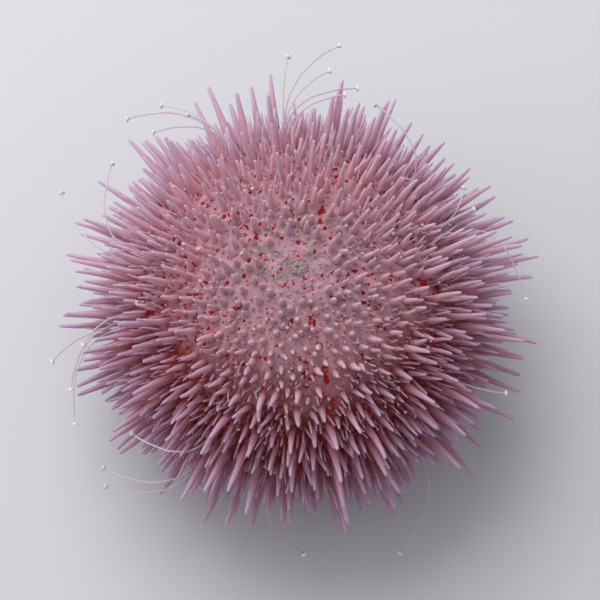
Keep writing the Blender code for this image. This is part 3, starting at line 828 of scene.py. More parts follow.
def copied_shape(sides, profile):
    """A template of a spine, extruded ring by ring, one unit high each, and taken off the scene again."""
    item = start_disc("template", sides, profile[0][2])
    for before, after in zip(profile, profile[1:]):
        extrude(1.0, after[2] / before[2])
    close_shape(smooth=False)
    mesh = item.data
    corners = points_of(item)
    loops = numbers_of(mesh.loops, "vertex_index")
    starts = numbers_of(mesh.polygons, "loop_start")
    totals = numbers_of(mesh.polygons, "loop_total")
    turns = np.mod(np.arctan2(corners[:, 1], corners[:, 0]) / TAU, 1.0)[loops]
    for start, total in zip(starts, totals):
        own = turns[start : start + total]
        if total == 4 and own.max() - own.min() > 0.5:
            own[own < 0.5] += 1.0
    rings = np.rint(corners[:, 2]).astype(int)
    places = np.array(profile)
    grain = np.stack((turns, rings[loops] / rings.max()), axis=1)
    bpy.data.objects.remove(item, do_unlink=True)
    return Template(corners, rings, loops, starts, totals, grain, places)


def sideways_of(directions):
    """Two unit directions square to each row of an array of directions."""
    helper = np.where(np.abs(directions[:, 2:3]) < 0.9, [[0.0, 0.0, 1.0]], [[1.0, 0.0, 0.0]])
    first = np.cross(directions, helper)
    first /= np.linalg.norm(first, axis=1)[:, None]
    return first, np.cross(directions, first)


def joined_copies(name, template, shell, points, share, distances, azimuths, rng):
    """One mesh of many copies of the template, with the corners of each copy given as rows of points."""
    count, corners = len(points), len(template.corners)
    points = points.reshape(-1, 3) + np.array(AXIS)
    points[:, 2] = np.maximum(points[:, 2], FLOOR_AIR)
    mesh = bpy.data.meshes.new(name)
    item = bpy.data.objects.new(name, mesh)
    bpy.context.scene.collection.objects.link(item)
    shift = np.arange(count)[:, None]
    mesh.vertices.add(count * corners)
    mesh.vertices.foreach_set("co", points.ravel())
    mesh.loops.add(count * len(template.loops))
    mesh.loops.foreach_set("vertex_index", (template.loops[None, :] + shift * corners).ravel())
    mesh.polygons.add(count * len(template.starts))
    mesh.polygons.foreach_set("loop_start", (template.starts[None, :] + shift * len(template.loops)).ravel())
    mesh.polygons.foreach_set("loop_total", np.tile(template.totals, count))
    mesh.polygons.foreach_set("use_smooth", np.ones(count * len(template.starts), bool))
    mesh.update(calc_edges=True)
    mesh.validate()

    set_values(item, "along", share.ravel())
    set_values(item, "tint", np.repeat(rng.random(count), corners))
    set_values(item, "down", np.repeat(distances / MM, corners))
    patch = (np.clip(template.grain, 0, 1) - 0.5) * BAKE_PATCH
    places = bake_place(shell, distances, azimuths)
    set_uv(item, "OFBake", (places[:, None, :] + patch[None, :, :]).reshape(-1, 2))
    set_uv(item, "Grain", np.tile(template.grain, (count, 1)))
    return item


def plant(name, template, shell, roots, tips, radii, distances, azimuths, rng, bend):
    """One joined mesh with a copy of the template from each root to its tip."""
    count, corners = len(roots), len(template.corners)
    spans = tips - roots
    lengths = np.linalg.norm(spans, axis=1)
    directions = spans / lengths[:, None]
    first, second = sideways_of(directions)
    spin = rng.random(count) * TAU
    first, second = (
        first * np.cos(spin)[:, None] + second * np.sin(spin)[:, None],
        second * np.cos(spin)[:, None] - first * np.sin(spin)[:, None],
    )
    ring_radii, ring_lengths = template.profile[template.rings, 0], template.profile[template.rings, 1]
    heights = ring_radii[None, :] * radii[:, None] + ring_lengths[None, :] * lengths[:, None]
    share = np.clip(heights / lengths[:, None], 0.0, 1.0)
    sway = (rng.random(count) - 0.5) * 2 * bend * lengths
    across = template.corners[None, :, 0] * radii[:, None] + sway[:, None] * share * (1 - share) * 4
    aside = template.corners[None, :, 1] * radii[:, None]
    points = roots[:, None, :] + directions[:, None, :] * heights[:, :, None]
    points += first[:, None, :] * across[:, :, None] + second[:, None, :] * aside[:, :, None]
    return joined_copies(name, template, shell, points, share, distances, azimuths, rng)


def leaning(normals, rng, least, most):
    """Directions that lean off each normal by an angle in degrees between two values."""
    first, second = sideways_of(normals)
    turn = rng.random(len(normals)) * TAU
    lean = np.tan(np.radians(rng.uniform(least, most, len(normals))))
    sideways = first * np.cos(turn)[:, None] + second * np.sin(turn)[:, None]
    directions = normals + sideways * lean[:, None]
    return directions / np.linalg.norm(directions, axis=1)[:, None]


def above_floor(roots, directions, lengths):
    """Tips along the directions, drawn in where they would go through the floor."""
    drop = np.maximum(-directions[:, 2], DOWNWARD_LEAST)
    room = (roots[:, 2] - TIP_AIR) / drop
    return roots + directions * np.minimum(lengths, room)[:, None]


# Materials


def sum_method(operation, turned=False):
    """A method that adds an operation's maths node, with its own value last where it is turned."""

    def method(self, *others):
        return self.shader.math(operation, *((*others, self) if turned else (self, *others)))

    return method


class Value:
    """A number or colour inside a material, which plain sums and products can be written with."""

    def __init__(self, shader, socket):
        self.shader, self.socket = shader, socket

    __add__, __radd__ = sum_method("ADD"), sum_method("ADD", turned=True)
    __sub__, __rsub__ = sum_method("SUBTRACT"), sum_method("SUBTRACT", turned=True)
    __mul__, __rmul__ = sum_method("MULTIPLY"), sum_method("MULTIPLY", turned=True)
    __truediv__, __abs__ = sum_method("DIVIDE"), sum_method("ABSOLUTE")
    __gt__, __lt__ = sum_method("GREATER_THAN"), sum_method("LESS_THAN")
    most, least = sum_method("MAXIMUM"), sum_method("MINIMUM")


class Shader:
    """A material's nodes."""

    def __init__(self, name):
        self.material = bpy.data.materials.new(name)
        self.material.use_nodes = True
        self.tree = self.material.node_tree
        self.tree.nodes.clear()

    def node(self, kind, settings=None, inputs=None):
        """Adds a node of any kind with its settings, and sets or links its sockets by name or number."""
        node = self.tree.nodes.new(kind)
        for name, value in (settings or {}).items():
            setattr(node, name, value)
        for key, value in (inputs or {}).items():
            if isinstance(value, Value):
                self.tree.links.new(value.socket, node.inputs[key])
            else:
                node.inputs[key].default_value = value
        return node

    def take(self, node, key=0):
        """One output of a node."""
        return Value(self, node.outputs[key])

    def math(self, operation, *values):
        """The result of one maths node."""
        return self.take(self.node("ShaderNodeMath", {"operation": operation}, dict(enumerate(values))))

    def vector_math(self, operation, inputs):
        """The result of one vector maths node."""
        return self.take(self.node("ShaderNodeVectorMath", {"operation": operation}, inputs))

    def attribute(self, name):
        """A number stored with the mesh."""
        return self.take(self.node("ShaderNodeAttribute", {"attribute_name": name}), "Fac")

    def place(self):
        """Object coordinates, measured from the animal's axis."""
        coordinates = self.take(self.node("ShaderNodeTexCoord"), "Object")
        inputs = {"Vector": coordinates, "Location": tuple(-AXIS)}
        return self.take(self.node("ShaderNodeMapping", None, inputs))

    def split(self, vector):
        """The three parts of a vector."""
        parts = self.node("ShaderNodeSeparateXYZ", None, {0: vector})
        return [self.take(parts, index) for index in range(3)]

    def noise(self, vector, size, detail=2.0, roughness=0.5):
        """Soft noise from 0 to 1 with lumps of a size in metres."""
        inputs = {"Vector": vector, "Scale": 1.0 / size, "Detail": detail, "Roughness": roughness}
        return self.take(self.node("ShaderNodeTexNoise", None, inputs))

    def moved(self, vector, size, reach):
        """A place shifted about by soft noise, as far as a reach in metres."""
        noise = self.node("ShaderNodeTexNoise", None, {"Vector": vector, "Scale": 1.0 / size, "Detail": 1.0})
        away = self.vector_math("SUBTRACT", {0: self.take(noise, "Color"), 1: (0.5, 0.5, 0.5)})
        away = self.vector_math("SCALE", {0: away, "Scale": reach * 2})
        return self.vector_math("ADD", {0: vector, 1: away})

    def dots(self, vector, size, chance, least, most):
        """Uneven dots a size apart and their halos, there by a chance, with radii as shares of the size."""
        node = self.node("ShaderNodeTexVoronoi", None, {"Vector": vector, "Scale": 1.0 / size})
        pick, width = self.split(self.take(node, "Color"))[:2]
        edge = self.take(node, "Distance") - (width * (most - least) + least)
        there = self.step(chance - pick, 0.0, 0.02)
        return (1 - self.step(edge, -0.05, 0.03)) * there, (1 - self.step(edge, -0.05, 0.35)) * there

    def cells(self, vector, size):
        """Distance to the nearest of scattered points a size in metres apart, as a share of that size."""
        node = self.node("ShaderNodeTexVoronoi", None, {"Vector": vector, "Scale": 1.0 / size})
        return self.take(node, "Distance")

    def step(self, value, low, high):
        """Rises smoothly from 0 to 1 between two values."""
        inputs = {"Value": value, "From Min": low, "From Max": high, "To Min": 0.0, "To Max": 1.0}
        return self.take(self.node("ShaderNodeMapRange", {"interpolation_type": "SMOOTHSTEP"}, inputs))

    def mix(self, way, factor, first, second):
        """Two colours mixed by a share, each a colour in the material or plain red, green and blue."""
        first, second = (item if isinstance(item, Value) else (*item[:3], 1.0) for item in (first, second))
        settings = {"data_type": "RGBA", "blend_type": way}
        return self.take(self.node("ShaderNodeMix", settings, {0: factor, 6: first, 7: second}), 2)

    def blend(self, factor, first, second):
        """A colour between two colours."""
        return self.mix("MIX", factor, first, second)

    def tinted(self, factor, colour, tint):
        """A colour multiplied by another, by a share."""
        return self.mix("MULTIPLY", factor, colour, tint)

    def shaded(self, factor, colour, pattern, dark, light=(1.25, 1.25, 1.25)):
        """A colour multiplied, by a share, by one that goes from dark to light with a pattern."""
        return self.tinted(factor, colour, self.blend(pattern, dark, light))

    def finish(self, colour, roughness, relief=None, depth=0.0, strength=0.8, specular=0.2, others=None):
        """Ends in the surface's shader, with a relief of a depth in metres and other values by name."""
        inputs = {"Base Color": colour, "Roughness": roughness, "Specular IOR Level": specular}
        inputs.update(others or {})
        if relief is not None:
            bumps = {"Height": relief, "Distance": depth, "Strength": strength}
            inputs["Normal"] = self.take(self.node("ShaderNodeBump", None, bumps))
        surface = self.take(self.node("ShaderNodeBsdfPrincipled", None, inputs))
        self.node("ShaderNodeOutputMaterial", None, {"Surface": surface})
        return self.material


def axis_distance(shader, place):
    """Distance from the animal's axis, in millimetres."""
    x, y = shader.split(place)[:2]
    return shader.math("SQRT", x * x + y * y) / MM


def five_fold(shader, place):
    """Turns from the middle of the nearest broad sector, from -0.5 to 0.5, and radius in millimetres."""
    x, y = shader.split(place)[:2]
    turns = shader.math("ARCTAN2", y, x) / TAU * 5.0 + (5.5 - SECTOR_KINDS[1][1] / SECTOR_STEP)
    return shader.math("FRACT", turns) - 0.5, axis_distance(shader, place)


def front_of(shader, place):
    """How far to the front of the animal a place lies, from 0 to 1, which weights the painted shade and
    painted light on the front side.
    """
    return 1 - shader.step(shader.split(place)[1] / MM, -18.0, 14.0)


def crown_ground(shader, place):
    """Mottled skin of the crown: grey-pink and grey-green under pale pink patches."""
    broad = shader.noise(place, 3.6 * MM, 3.0, 0.55)
    light = shader.noise(place, 2.0 * MM, 2.0)
    ground = shader.blend(shader.step(broad, 0.45, 0.65), (0.41, 0.215, 0.265), (0.26, 0.19, 0.19))
    return shader.blend(shader.step(light, 0.5, 0.68) * 0.75, ground, (0.54, 0.35, 0.42))


def markings(shader, place, down, top, ring=None):
    """Red pigment from 0 to 1, in broken lines along seams and round spines and in flecks, and its halo."""
    turn, radius = five_fold(shader, place)
    arc = radius * math.radians(SECTOR_STEP)
    edge = SECTOR_KINDS[1][2] / SECTOR_STEP / 2
    wobble = (shader.noise(place, 2.2 * MM) - 0.5) * 1.1
    middle = abs(turn * arc + wobble)
    border = abs((abs(turn) - edge) * arc + wobble)
    broad = abs(turn) < edge
    raised = broad * (turn > 0.0) + (1 - broad) * (turn < 0.0)
    first_seam = top / MM + (SECTOR_MARGIN + PLATE_STEP / 2) / MM
    row = (down + wobble - first_seam) / (PLATE_STEP / MM) + raised * 0.5
    seam = abs(shader.math("FRACT", row + 20.5) - 0.5) * (PLATE_STEP / MM)
    rich = shader.step(down, 10.0, 30.0)
    near = (1 - shader.step(middle.least(border), 0.3, 0.9)) * 0.95
    near = near.most((1 - shader.step(seam, 0.25, 0.65)) * 0.7)
    if ring is not None:
        near = near.most((1 - shader.step(abs(ring + wobble * 0.5 - 1.5), 0.2, 0.6)) * 0.8)
    patchy = shader.step(shader.noise(place, 4.5 * MM, 1.0), 0.4, 0.56)
    chance = (near * (patchy * 0.8 + 0.2) + patchy * 0.06) * (0.4 + 0.3 * rich) + rich * 0.07
    chance = chance.most((1 - shader.step(middle, 0.4, 1.1)) * shader.step(down, 7.0, 12.0) * 0.8)
    bent = shader.moved(place, 0.8 * MM, 0.5 * MM)
    large, halo = shader.dots(bent, 1.1 * MM, chance * 0.7, 0.2, 0.6)
    small = shader.dots(bent, 0.42 * MM, chance * 0.35 + 0.04, 0.18, 0.48)[0]
    blots = shader.noise(bent, 1.5 * MM, 2.0, 0.6) + chance.least(0.8) * 0.22
    large = large.most(shader.step(blots, 0.71, 0.75))
    halo = halo.most(shader.step(blots, 0.62, 0.75))
    return large.most(small * 0.85), halo


def skin_material(colours, top):
    """Soft skin over the shell: pale pink on the crown, red-brown below, with dotted red markings. The
    red-brown is partly the skin's own colour and partly painted shade, much stronger on the front side, where
    painted light also makes the upper skin paler and the red brighter.
    """
    shader = Shader("urchin_skin")
    place = shader.place()
    down, ring = shader.attribute("down"), shader.attribute("ring")
    amount, halo = markings(shader, place, down, top, ring)
    mottled = shader.noise(place, 3.5 * MM, 4.0, 0.6)
    fine = shader.noise(place, 0.35 * MM, 3.0, 0.65)
    pale = shader.blend(shader.step(down, 8.0, 22.0) * 0.7, crown_ground(shader, place), colours.skin)
    pale = shader.blend(halo * 0.6, pale, (0.62, 0.22, 0.20))
    front = front_of(shader, place)
    # Paler salmon skin on the upper front: partly the skin's own tone, partly painted light that lifts the
    # lamp's shade there
    pale = shader.blend(front * shader.step(down, 7.0, 15.0) * 0.6, pale, (0.64, 0.36, 0.39))
    # Deep red-brown skin low on the sides: partly the skin's own red, partly painted shade between the
    # spines, much stronger on the front side and darkest in the near-black clots
    depth = shader.step(down + (mottled - 0.5) * 26.0, 17.0, 36.0) * (front * 0.86 + 0.14)
    depth = depth * (1 - shader.step(down, 56.0, 70.0) * 0.6)
    clotted = shader.noise(place, 1.3 * MM, 3.0, 0.6)
    deep = shader.blend(shader.step(clotted, 0.36, 0.5), (0.10, 0.014, 0.012), colours.deep_skin_and_shade)
    deep = shader.blend(shader.step(clotted, 0.52, 0.66) * 0.7, deep, (0.42, 0.11, 0.095))
    ground = shader.blend(depth, pale, deep)
    ground = shader.blend(halo * depth * 0.4, ground, (0.50, 0.13, 0.11))
    ground = shader.shaded(0.35, ground, fine, (0.6, 0.58, 0.58))
    # Brighter red pigment on the front side: painted light that lifts it out of the lamp's shade
    pigment = shader.blend(front * shader.step(down, 10.0, 20.0), colours.pigment, (0.38, 0.01, 0.006))
    colour = shader.blend(amount, ground, pigment)
    relief = shader.noise(place, 0.9 * MM, 4.0, 0.6) + fine * 0.35 - amount * 0.2
    return shader.finish(colour, 0.5 + fine * 0.2, relief, 0.22 * MM, specular=0.15)


def spine_material(name, colours, top, flutes, pale):
    """Chalky fluted spine under thin skin: a pink root, a lavender-grey tip and red flecks at its foot. Low
    on the sides, most on the front side, it carries painted shade in darker, redder bodies, tips and roots,
    and painted light in brighter red flecks.
    """
    shader = Shader(name)
    place = shader.place()
    along, tint, down = (shader.attribute(key) for key in ("along", "tint", "down"))
    grain = shader.take(shader.node("ShaderNodeUVMap", {"uv_map": "Grain"}))
    around, length = shader.split(grain)[:2]
    amount = markings(shader, place, down, top)[0]
    flute = shader.math("COSINE", around * (TAU * flutes)) * 0.5 + 0.5
    sides = {0: around * 9.0 + tint * 40.0, 1: length * 2.5, 2: tint * 17.0}
    stretched = shader.take(shader.node("ShaderNodeCombineXYZ", None, sides))
    streaks = shader.noise(stretched, 0.625, 3.0)
    fine = shader.noise(place, 0.3 * MM, 3.0, 0.6)
    root = shader.blend(tint, colours.spine, pale)
    root = shader.blend(shader.step(down, 6.0, 24.0), (0.56, 0.35, 0.41), root)
    broad = shader.noise(place, 9.0 * MM, 1.0)
    root = shader.blend(shader.step(broad, 0.5, 0.68) * 0.55, root, (0.50, 0.36, 0.44))
    root = shader.blend((1 - shader.step(broad, 0.34, 0.5)) * 0.4, root, (0.74, 0.36, 0.38))
    front = front_of(shader, place)
    # Darker, redder spines low on the sides: partly their own rosy colour, partly painted shade, strongest on
    # the front side
    rosy_and_shaded = shader.blend(shader.step(down, 18.0, 40.0) * (front * 0.65 + 0.15), root, (0.42, 0.15, 0.20))
    tip = shader.blend(shader.step(down, 16.0, 36.0), (0.64, 0.43, 0.51), colours.tip)
    # Painted shade: the tips are darkened low on the front side
    tip = shader.tinted(front * shader.step(down, 14.0, 30.0) * 0.8, tip, (0.72, 0.66, 0.70))
    body = shader.blend(shader.step(along, 0.3, 0.95), rosy_and_shaded, tip)
    body = shader.shaded(0.5, body, streaks, (0.62, 0.60, 0.62), (1.28, 1.26, 1.26))
    body = shader.shaded(0.28, body, flute, (0.55, 0.50, 0.55), (1.1, 1.1, 1.1))
    foot = 1 - shader.step(along, 0.06, 0.26)
    # Dark red at the roots low on the sides: partly real red staining, partly painted shade where the spines
    # meet the skin, strongest on the front side
    root_stain_and_shade = (1 - shader.step(along, 0.0, 0.38)) * shader.step(down, 14.0, 34.0) * (front * 0.5 + 0.25)
    body = shader.blend(root_stain_and_shade, body, (0.34, 0.04, 0.04))
    # Brighter red flecks on the front side: painted light that lifts them out of the lamp's shade
    pigment = shader.blend(front * shader.step(down, 10.0, 20.0), colours.pigment, (0.35, 0.01, 0.006))
    colour = shader.blend(amount * foot * 0.9, body, pigment)
    relief = flute * 0.6 + streaks * 0.5 + fine * 0.25
    glow = {"Subsurface Weight": 0.75, "Subsurface Radius": (1.0, 0.6, 0.65), "Subsurface Scale": 1.4 * MM}
    return shader.finish(colour, 0.5 + fine * 0.2, relief, 0.09 * MM, 0.7, 0.25, glow)


def pincer_material():
    """Soft skin in two mottled colours with a wrinkled surface."""
    shader = Shader("pincer")
    place = shader.place()
    lumps = shader.noise(place, 0.6 * MM, 4.0, 0.6)
    fine = shader.noise(place, 0.6 * MM / 6, 3.0, 0.6)
    body = shader.blend(shader.step(lumps, 0.35, 0.68), (0.66, 0.54, 0.58), (0.50, 0.34, 0.40))
    body = shader.shaded(0.4, body, fine, (0.6, 0.6, 0.6))
    return shader.finish(body, 0.45 + fine * 0.2, lumps + fine * 0.5, 0.05 * MM, specular=0.5)


def mouth_material(colours):
    """Folded skin round the mouth: mottled red-brown, and pinker with red dots towards the shell."""
    shader = Shader("mouth_skin")
    place = shader.place()
    radius = axis_distance(shader, place)
    lumps = shader.noise(place, 1.6 * MM, 4.0, 0.6)
    fine = shader.noise(place, 0.25 * MM, 3.0, 0.6)
    body = shader.blend(shader.step(lumps, 0.35, 0.68), colours.mouth, (0.55, 0.33, 0.31))
    outward = shader.step(radius + (lumps - 0.5) * 5.0, 6.0, 9.6)
    body = shader.blend(outward, body, colours.skin)
    bent = shader.moved(place, 0.8 * MM, 0.4 * MM)
    red, halo = shader.dots(bent, 1.0 * MM, shader.step(radius, 4.0, 8.0) * 0.4 + 0.08, 0.2, 0.5)
    body = shader.blend(halo * 0.4, body, (0.50, 0.16, 0.15))
    body = shader.blend(red * 0.85, body, colours.pigment)
    body = shader.shaded(0.4, body, fine, (0.6, 0.6, 0.6))
    return shader.finish(body, 0.4 + fine * 0.2, lumps + fine * 0.5, 0.2 * MM)


def vent_material(colours):
    """Folded skin round the vent, grey-green in the middle and pinker towards its scaly edge."""
    shader = Shader("vent_skin")
    place = shader.place()
    radius = axis_distance(shader, place)
    lumps = shader.noise(place, 0.9 * MM, 3.0, 0.6)
    fine = shader.noise(place, 0.2 * MM, 3.0, 0.6)
    outward = shader.step(radius + (lumps - 0.5) * 6.0, 0.2, 2.2)
    body = shader.blend(outward, colours.vent, crown_ground(shader, place))
    body = shader.shaded(0.5, body, fine, (0.6, 0.6, 0.6))
    seams = 1 - shader.step(shader.cells(place, 0.8 * MM), 0.3, 0.75)
    body = shader.tinted((1 - seams) * 0.35, body, (0.6, 0.5, 0.48))
    return shader.finish(body, 0.5 + fine * 0.2, lumps + seams * 0.5 + fine * 0.4, 0.14 * MM)


def plate_material(colours, top):
    """Lid plates under thin skin: pale grey-pink, stippled, with dotted red round their edges."""
    shader = Shader("lid_plates")
    place = shader.place()
    down, rim = shader.attribute("down"), shader.attribute("rim")
    amount = markings(shader, place, down, top)[0]
    lumps = shader.noise(place, 1.6 * MM, 3.0)
    fine = shader.noise(place, 0.3 * MM, 3.0, 0.6)
    ground = crown_ground(shader, place)
    ground = shader.shaded(0.4, ground, fine, (0.6, 0.6, 0.6), (1.2, 1.2, 1.2))
    bent = shader.moved(place, 0.9 * MM, 0.28 * MM)
    red = shader.dots(bent, 1.0 * MM, shader.step(rim, 0.5, 1.0) * 0.35, 0.2, 0.55)[0]
    colour = shader.blend(red.most(amount), ground, colours.pigment)
    pits = shader.cells(place, 0.45 * MM)
    return shader.finish(colour, 0.5 + fine * 0.2, pits * 0.5 + lumps + fine * 0.3, 0.12 * MM)


def foot_material(name, colours, chalk):
    """Glassy stalk with fine rings, and a chalky sucker."""
    shader = Shader(name)
    place = shader.place()
    along, tint = shader.attribute("along"), shader.attribute("tint")
    fine = shader.noise(place, 0.3 * MM, 3.0, 0.6)
    disc = shader.step(along, 0.95, 0.99)
    sucker = shader.tinted(tint * 0.3, chalk, (0.8, 0.75, 0.8))
    rings = shader.math("SINE", along * 190.0) * 0.5 + 0.5
    stalk = shader.blend(tint, colours.foot, (0.66, 0.52, 0.63))
    stalk = shader.shaded(0.25, stalk, rings, (0.6, 0.55, 0.6), (1.1, 1.1, 1.1))
    colour = shader.blend(disc, stalk, sucker)
    glassy = {"Alpha": 0.7 + disc * 0.3}
    return shader.finish(colour, 0.22 + fine * 0.2, rings + fine, 0.04 * MM, 0.6, 0.5, glassy)


def enamel_material(colours):
    """Worn tooth: ivory enamel with growth lines, and a stained root."""
    shader = Shader("tooth_enamel")
    place = shader.place()
    height = shader.split(place)[2] / MM
    grow = shader.math("SINE", height * 24.0) * 0.5 + 0.5
    fine = shader.noise(place, 0.25 * MM, 3.0, 0.6)
    colour = shader.blend(shader.step(height, 8.0, 10.2), colours.tooth, (0.50, 0.38, 0.28))
    colour = shader.shaded(0.3, colour, grow, (0.75, 0.72, 0.66), (1.1, 1.1, 1.1))
    return shader.finish(colour, 0.25 + fine * 0.2, grow + fine, 0.03 * MM, 0.6, 0.5)


def floor_material(colour):
    """Matte studio floor."""
    shader = Shader("studio_floor")
    coordinates = shader.take(shader.node("ShaderNodeTexCoord"), "Object")
    fine = shader.noise(coordinates, 4.0 * MM, 3.0)
    tone = shader.shaded(0.05, colour, fine, (0.9, 0.9, 0.9), (1.05, 1.05, 1.05))
    return shader.finish(tone, 0.75)


def dress(item, material, slot, *nodes):
    """Gives a finished piece its material and body, and hides the solids that it replaces."""
    item.data.materials.clear()
    item.data.materials.append(material)
    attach(item, "root")
    if nodes:
        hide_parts(*nodes)
    deselect()


# The pieces


def lane_gap(shell, distances, azimuths):
    """Distance round the shell from the middle line of the nearest broad sector, in metres."""
    turns = np.degrees(azimuths) - SECTOR_KINDS[1][1]
    aside = np.abs(np.mod(turns + SECTOR_STEP / 2, SECTOR_STEP) - SECTOR_STEP / 2)
    return np.radians(aside) * shell.at(distances)[0]


def nearest_gap(points, roots):
    """Distance from each point to the nearest root, in metres."""
    gaps = np.full(len(points), 1.0)
    for root in roots:
        gaps = np.minimum(gaps, np.sum((points - root) ** 2, axis=1))
    return np.sqrt(gaps)


class URCHIN_OT_skin(bpy.types.Operator):
    """One skin over the whole shell, with a knob under each long spine"""

    bl_idname = "urchin.skin"
    bl_label = "Skin"

    def execute(self, context):
        sizes, colours = context.scene.urchin_shell, context.scene.urchin_colours
        shell, spines = grown(context)[:2]
        first = shell.distance_at_radius(SKIN_HOLE, below=False)
        rows = [shell.at(distance)[:2] for distance in np.linspace(first, shell.bottom, sizes.rows)]
        radius, height = rows[0]
        low_radius, low_height = rows[-1]
        stations = [(radius, height - SKIN_TURNED_DOWN)] + rows
        for inward, rise in SKIN_TURNED_IN:
            stations.append((low_radius - inward * MM, low_height + rise * MM))
        skin = turned_shape("skin", sizes.columns, stations)
        points = points_of(skin)
        plan = np.hypot(points[:, 0], points[:, 1])
        azimuths = np.arctan2(points[:, 1], points[:, 0])
        profile = np.stack((shell.radii, shell.heights), axis=1)
        outline = np.round(np.stack((plan, points[:, 2]), axis=1), 8)
        pairs, inverse = np.unique(outline, axis=0, return_inverse=True)
        nearest = np.array([np.argmin(np.sum((profile - pair) ** 2, axis=1)) for pair in pairs])
        distances = shell.distances[nearest][inverse.ravel()]
        gaps = nearest_gap(points, roots_of(spines))
        normals = shell.surfaces(distances, azimuths)[1]
        outer = (distances > first + 1.5 * MM) & (distances < shell.bottom - 0.5 * MM)
        lift = sizes.boss * np.exp(-((gaps / KNOB_WIDTH) ** 2)) * outer
        lift *= np.clip((distances - shell.top) / KNOBS_FULL_AT, KNOB_LEAST, 1.0)
        points += normals * lift[:, None]
        set_points(skin, points + np.array(AXIS))
        set_values(skin, "ring", gaps / MM)
        set_values(skin, "down", distances / MM)

        mesh = skin.data
        unwrap = bake_place(shell, distances, azimuths)[numbers_of(mesh.loops, "vertex_index")]
        for polygon in mesh.polygons:
            own = unwrap[polygon.loop_start : polygon.loop_start + polygon.loop_total]
            if own[:, 0].max() - own[:, 0].min() > 0.5:
                own[own[:, 0] < 0.5, 0] += 1.0
        set_uv(skin, "OFBake", unwrap)
        sectors = [f"{kind[0]}_{number + 1}" for kind in SECTOR_KINDS for number in range(5)]
        dress(skin, skin_material(colours, shell.top), "interambulacrum", *sectors)
        return {"FINISHED"}


def plate(name, across, deep, thick):
    """A rounded plate, broader outwards, with a raised middle and a small pore near its outer edge."""
    item = start_disc(name, 10, 1.0)
    bpy.ops.transform.resize(value=(deep / 2, across / 2, 1.0))
    extrude(thick * 0.7, 0.97)
    extrude(thick * 0.25, 0.9)
    extrude(thick * 0.1, 0.62)
    extrude(-thick * 0.12, 0.6)
    bpy.ops.transform.resize(value=(0.5, 0.5 * deep / across, 1.0))
    bpy.ops.transform.translate(value=(deep * 0.16, 0.0, 0.0))
    extrude(0.03 * MM, 0.8)
    extrude(-thick * 0.6, 0.6)
    close_shape()
    smooth_over(item, 2)
    points = points_of(item)
    points[:, 1] *= 1 + 0.45 * points[:, 0] / deep
    set_points(item, points)
    edge = np.hypot(points[:, 0] / (deep / 2), points[:, 1] / (across / 2))
    set_values(item, "rim", np.clip(edge, 0, 1.2))
    return item


class URCHIN_OT_lid(bpy.types.Operator):
    """The ten plates of the lid: five large ones, one of them sieve-like, and five small ones between them"""

    bl_idname = "urchin.lid"
    bl_label = "Lid plates"

    def execute(self, context):
        shell = grown(context)[0]
        rng = np.random.default_rng(LID_SEED)
        kinds = (
            (SECTOR_KINDS[1][1], plate("large_plate", *LARGE_PLATE), LARGE_PLATE_AT),
            (SECTOR_KINDS[0][1], plate("small_plate", *SMALL_PLATE), SMALL_PLATE_AT),
        )
        pieces = []
        for start, template, radius in kinds:
            distance = shell.distance_at_radius(radius, below=False)
            for number in range(5):
                azimuth = math.radians(start + number * SECTOR_STEP)
                point, normal = shell.surface(distance, azimuth)
                outward = plan_point(azimuth)
                outward = (outward - normal * outward.dot(normal)).normalized()
                turn = Matrix((outward, normal.cross(outward), normal)).transposed().to_4x4()
                copy = moved_copy(template, Matrix.Translation(point - normal * PLATE_SUNK) @ turn)
                if number == 1 and template.name.startswith("large"):
                    points = points_of(copy)
                    set_points(copy, points + rng.normal(0, SIEVE_ROUGHNESS, points.shape))
                pieces.append(copy)
            bpy.data.objects.remove(template, do_unlink=True)
        lid = join("lid_plates", pieces)
        points = points_of(lid)
        set_values(lid, "down", np.hypot(points[:, 0], points[:, 1]) / MM)
        set_on_axis(lid)
        dress(lid, plate_material(context.scene.urchin_colours, shell.top), "apical_disc", "apical_disc")
        return {"FINISHED"}


class URCHIN_OT_vent(bpy.types.Operator):
    """The round vent in the lid, with folded skin, a slit and a ring of small scales"""

    bl_idname = "urchin.vent"
    bl_label = "Vent"

    def execute(self, context):
        shell = grown(context)[0]
        height = float(shell.heights[0])
        cone = turned_shape("vent", 36, measured(VENT_PROFILE, height))
        points = points_of(cone)
        turn = np.arctan2(points[:, 1], points[:, 0])
        plan = np.hypot(points[:, 0], points[:, 1]) / MM
        window = np.clip((2.2 - plan) / 0.8, 0, 1) * np.clip(plan / 0.4, 0, 1)
        folds = np.cos(turn * 7 + 1.4 * np.sin(turn * 2) + plan * 1.5)
        folds += 0.7 * np.cos(turn * 4 + 2.0 + plan * 2.2)
        points[:, 2] += window * 0.09 * MM * folds
        points[:, 1] *= np.where(plan < 0.7, 0.55, 1.0)
        set_points(cone, points)
        smooth_over(cone, 2)
        scale = start_disc("scale", 7, 0.42 * MM)
        extrude(0.14 * MM, 0.95)
        extrude(0.1 * MM, 0.7)
        extrude(0.03 * MM, 0.4)
        close_shape()
        smooth_over(scale, 1)
        rng = np.random.default_rng(VENT_SEED)
        pieces = [cone]
        for number in range(VENT_SCALES):
            azimuth = TAU * (number + 0.7 * rng.random()) / VENT_SCALES
            size = 0.6 + 0.8 * rng.random()
            place = plan_point(azimuth) * (1.3 + 0.6 * rng.random()) * MM
            place.z = height + 0.2 * MM
            turn = Matrix.Rotation(azimuth, 4, "Z") @ Matrix.Rotation(0.28, 4, "Y") @ Matrix.Scale(size, 4)
            pieces.append(moved_copy(scale, Matrix.Translation(place) @ turn))
        bpy.data.objects.remove(scale, do_unlink=True)
        vent = join("vent", pieces)
        set_on_axis(vent)
        dress(vent, vent_material(context.scene.urchin_colours), "periproct", "periproct")
        return {"FINISHED"}


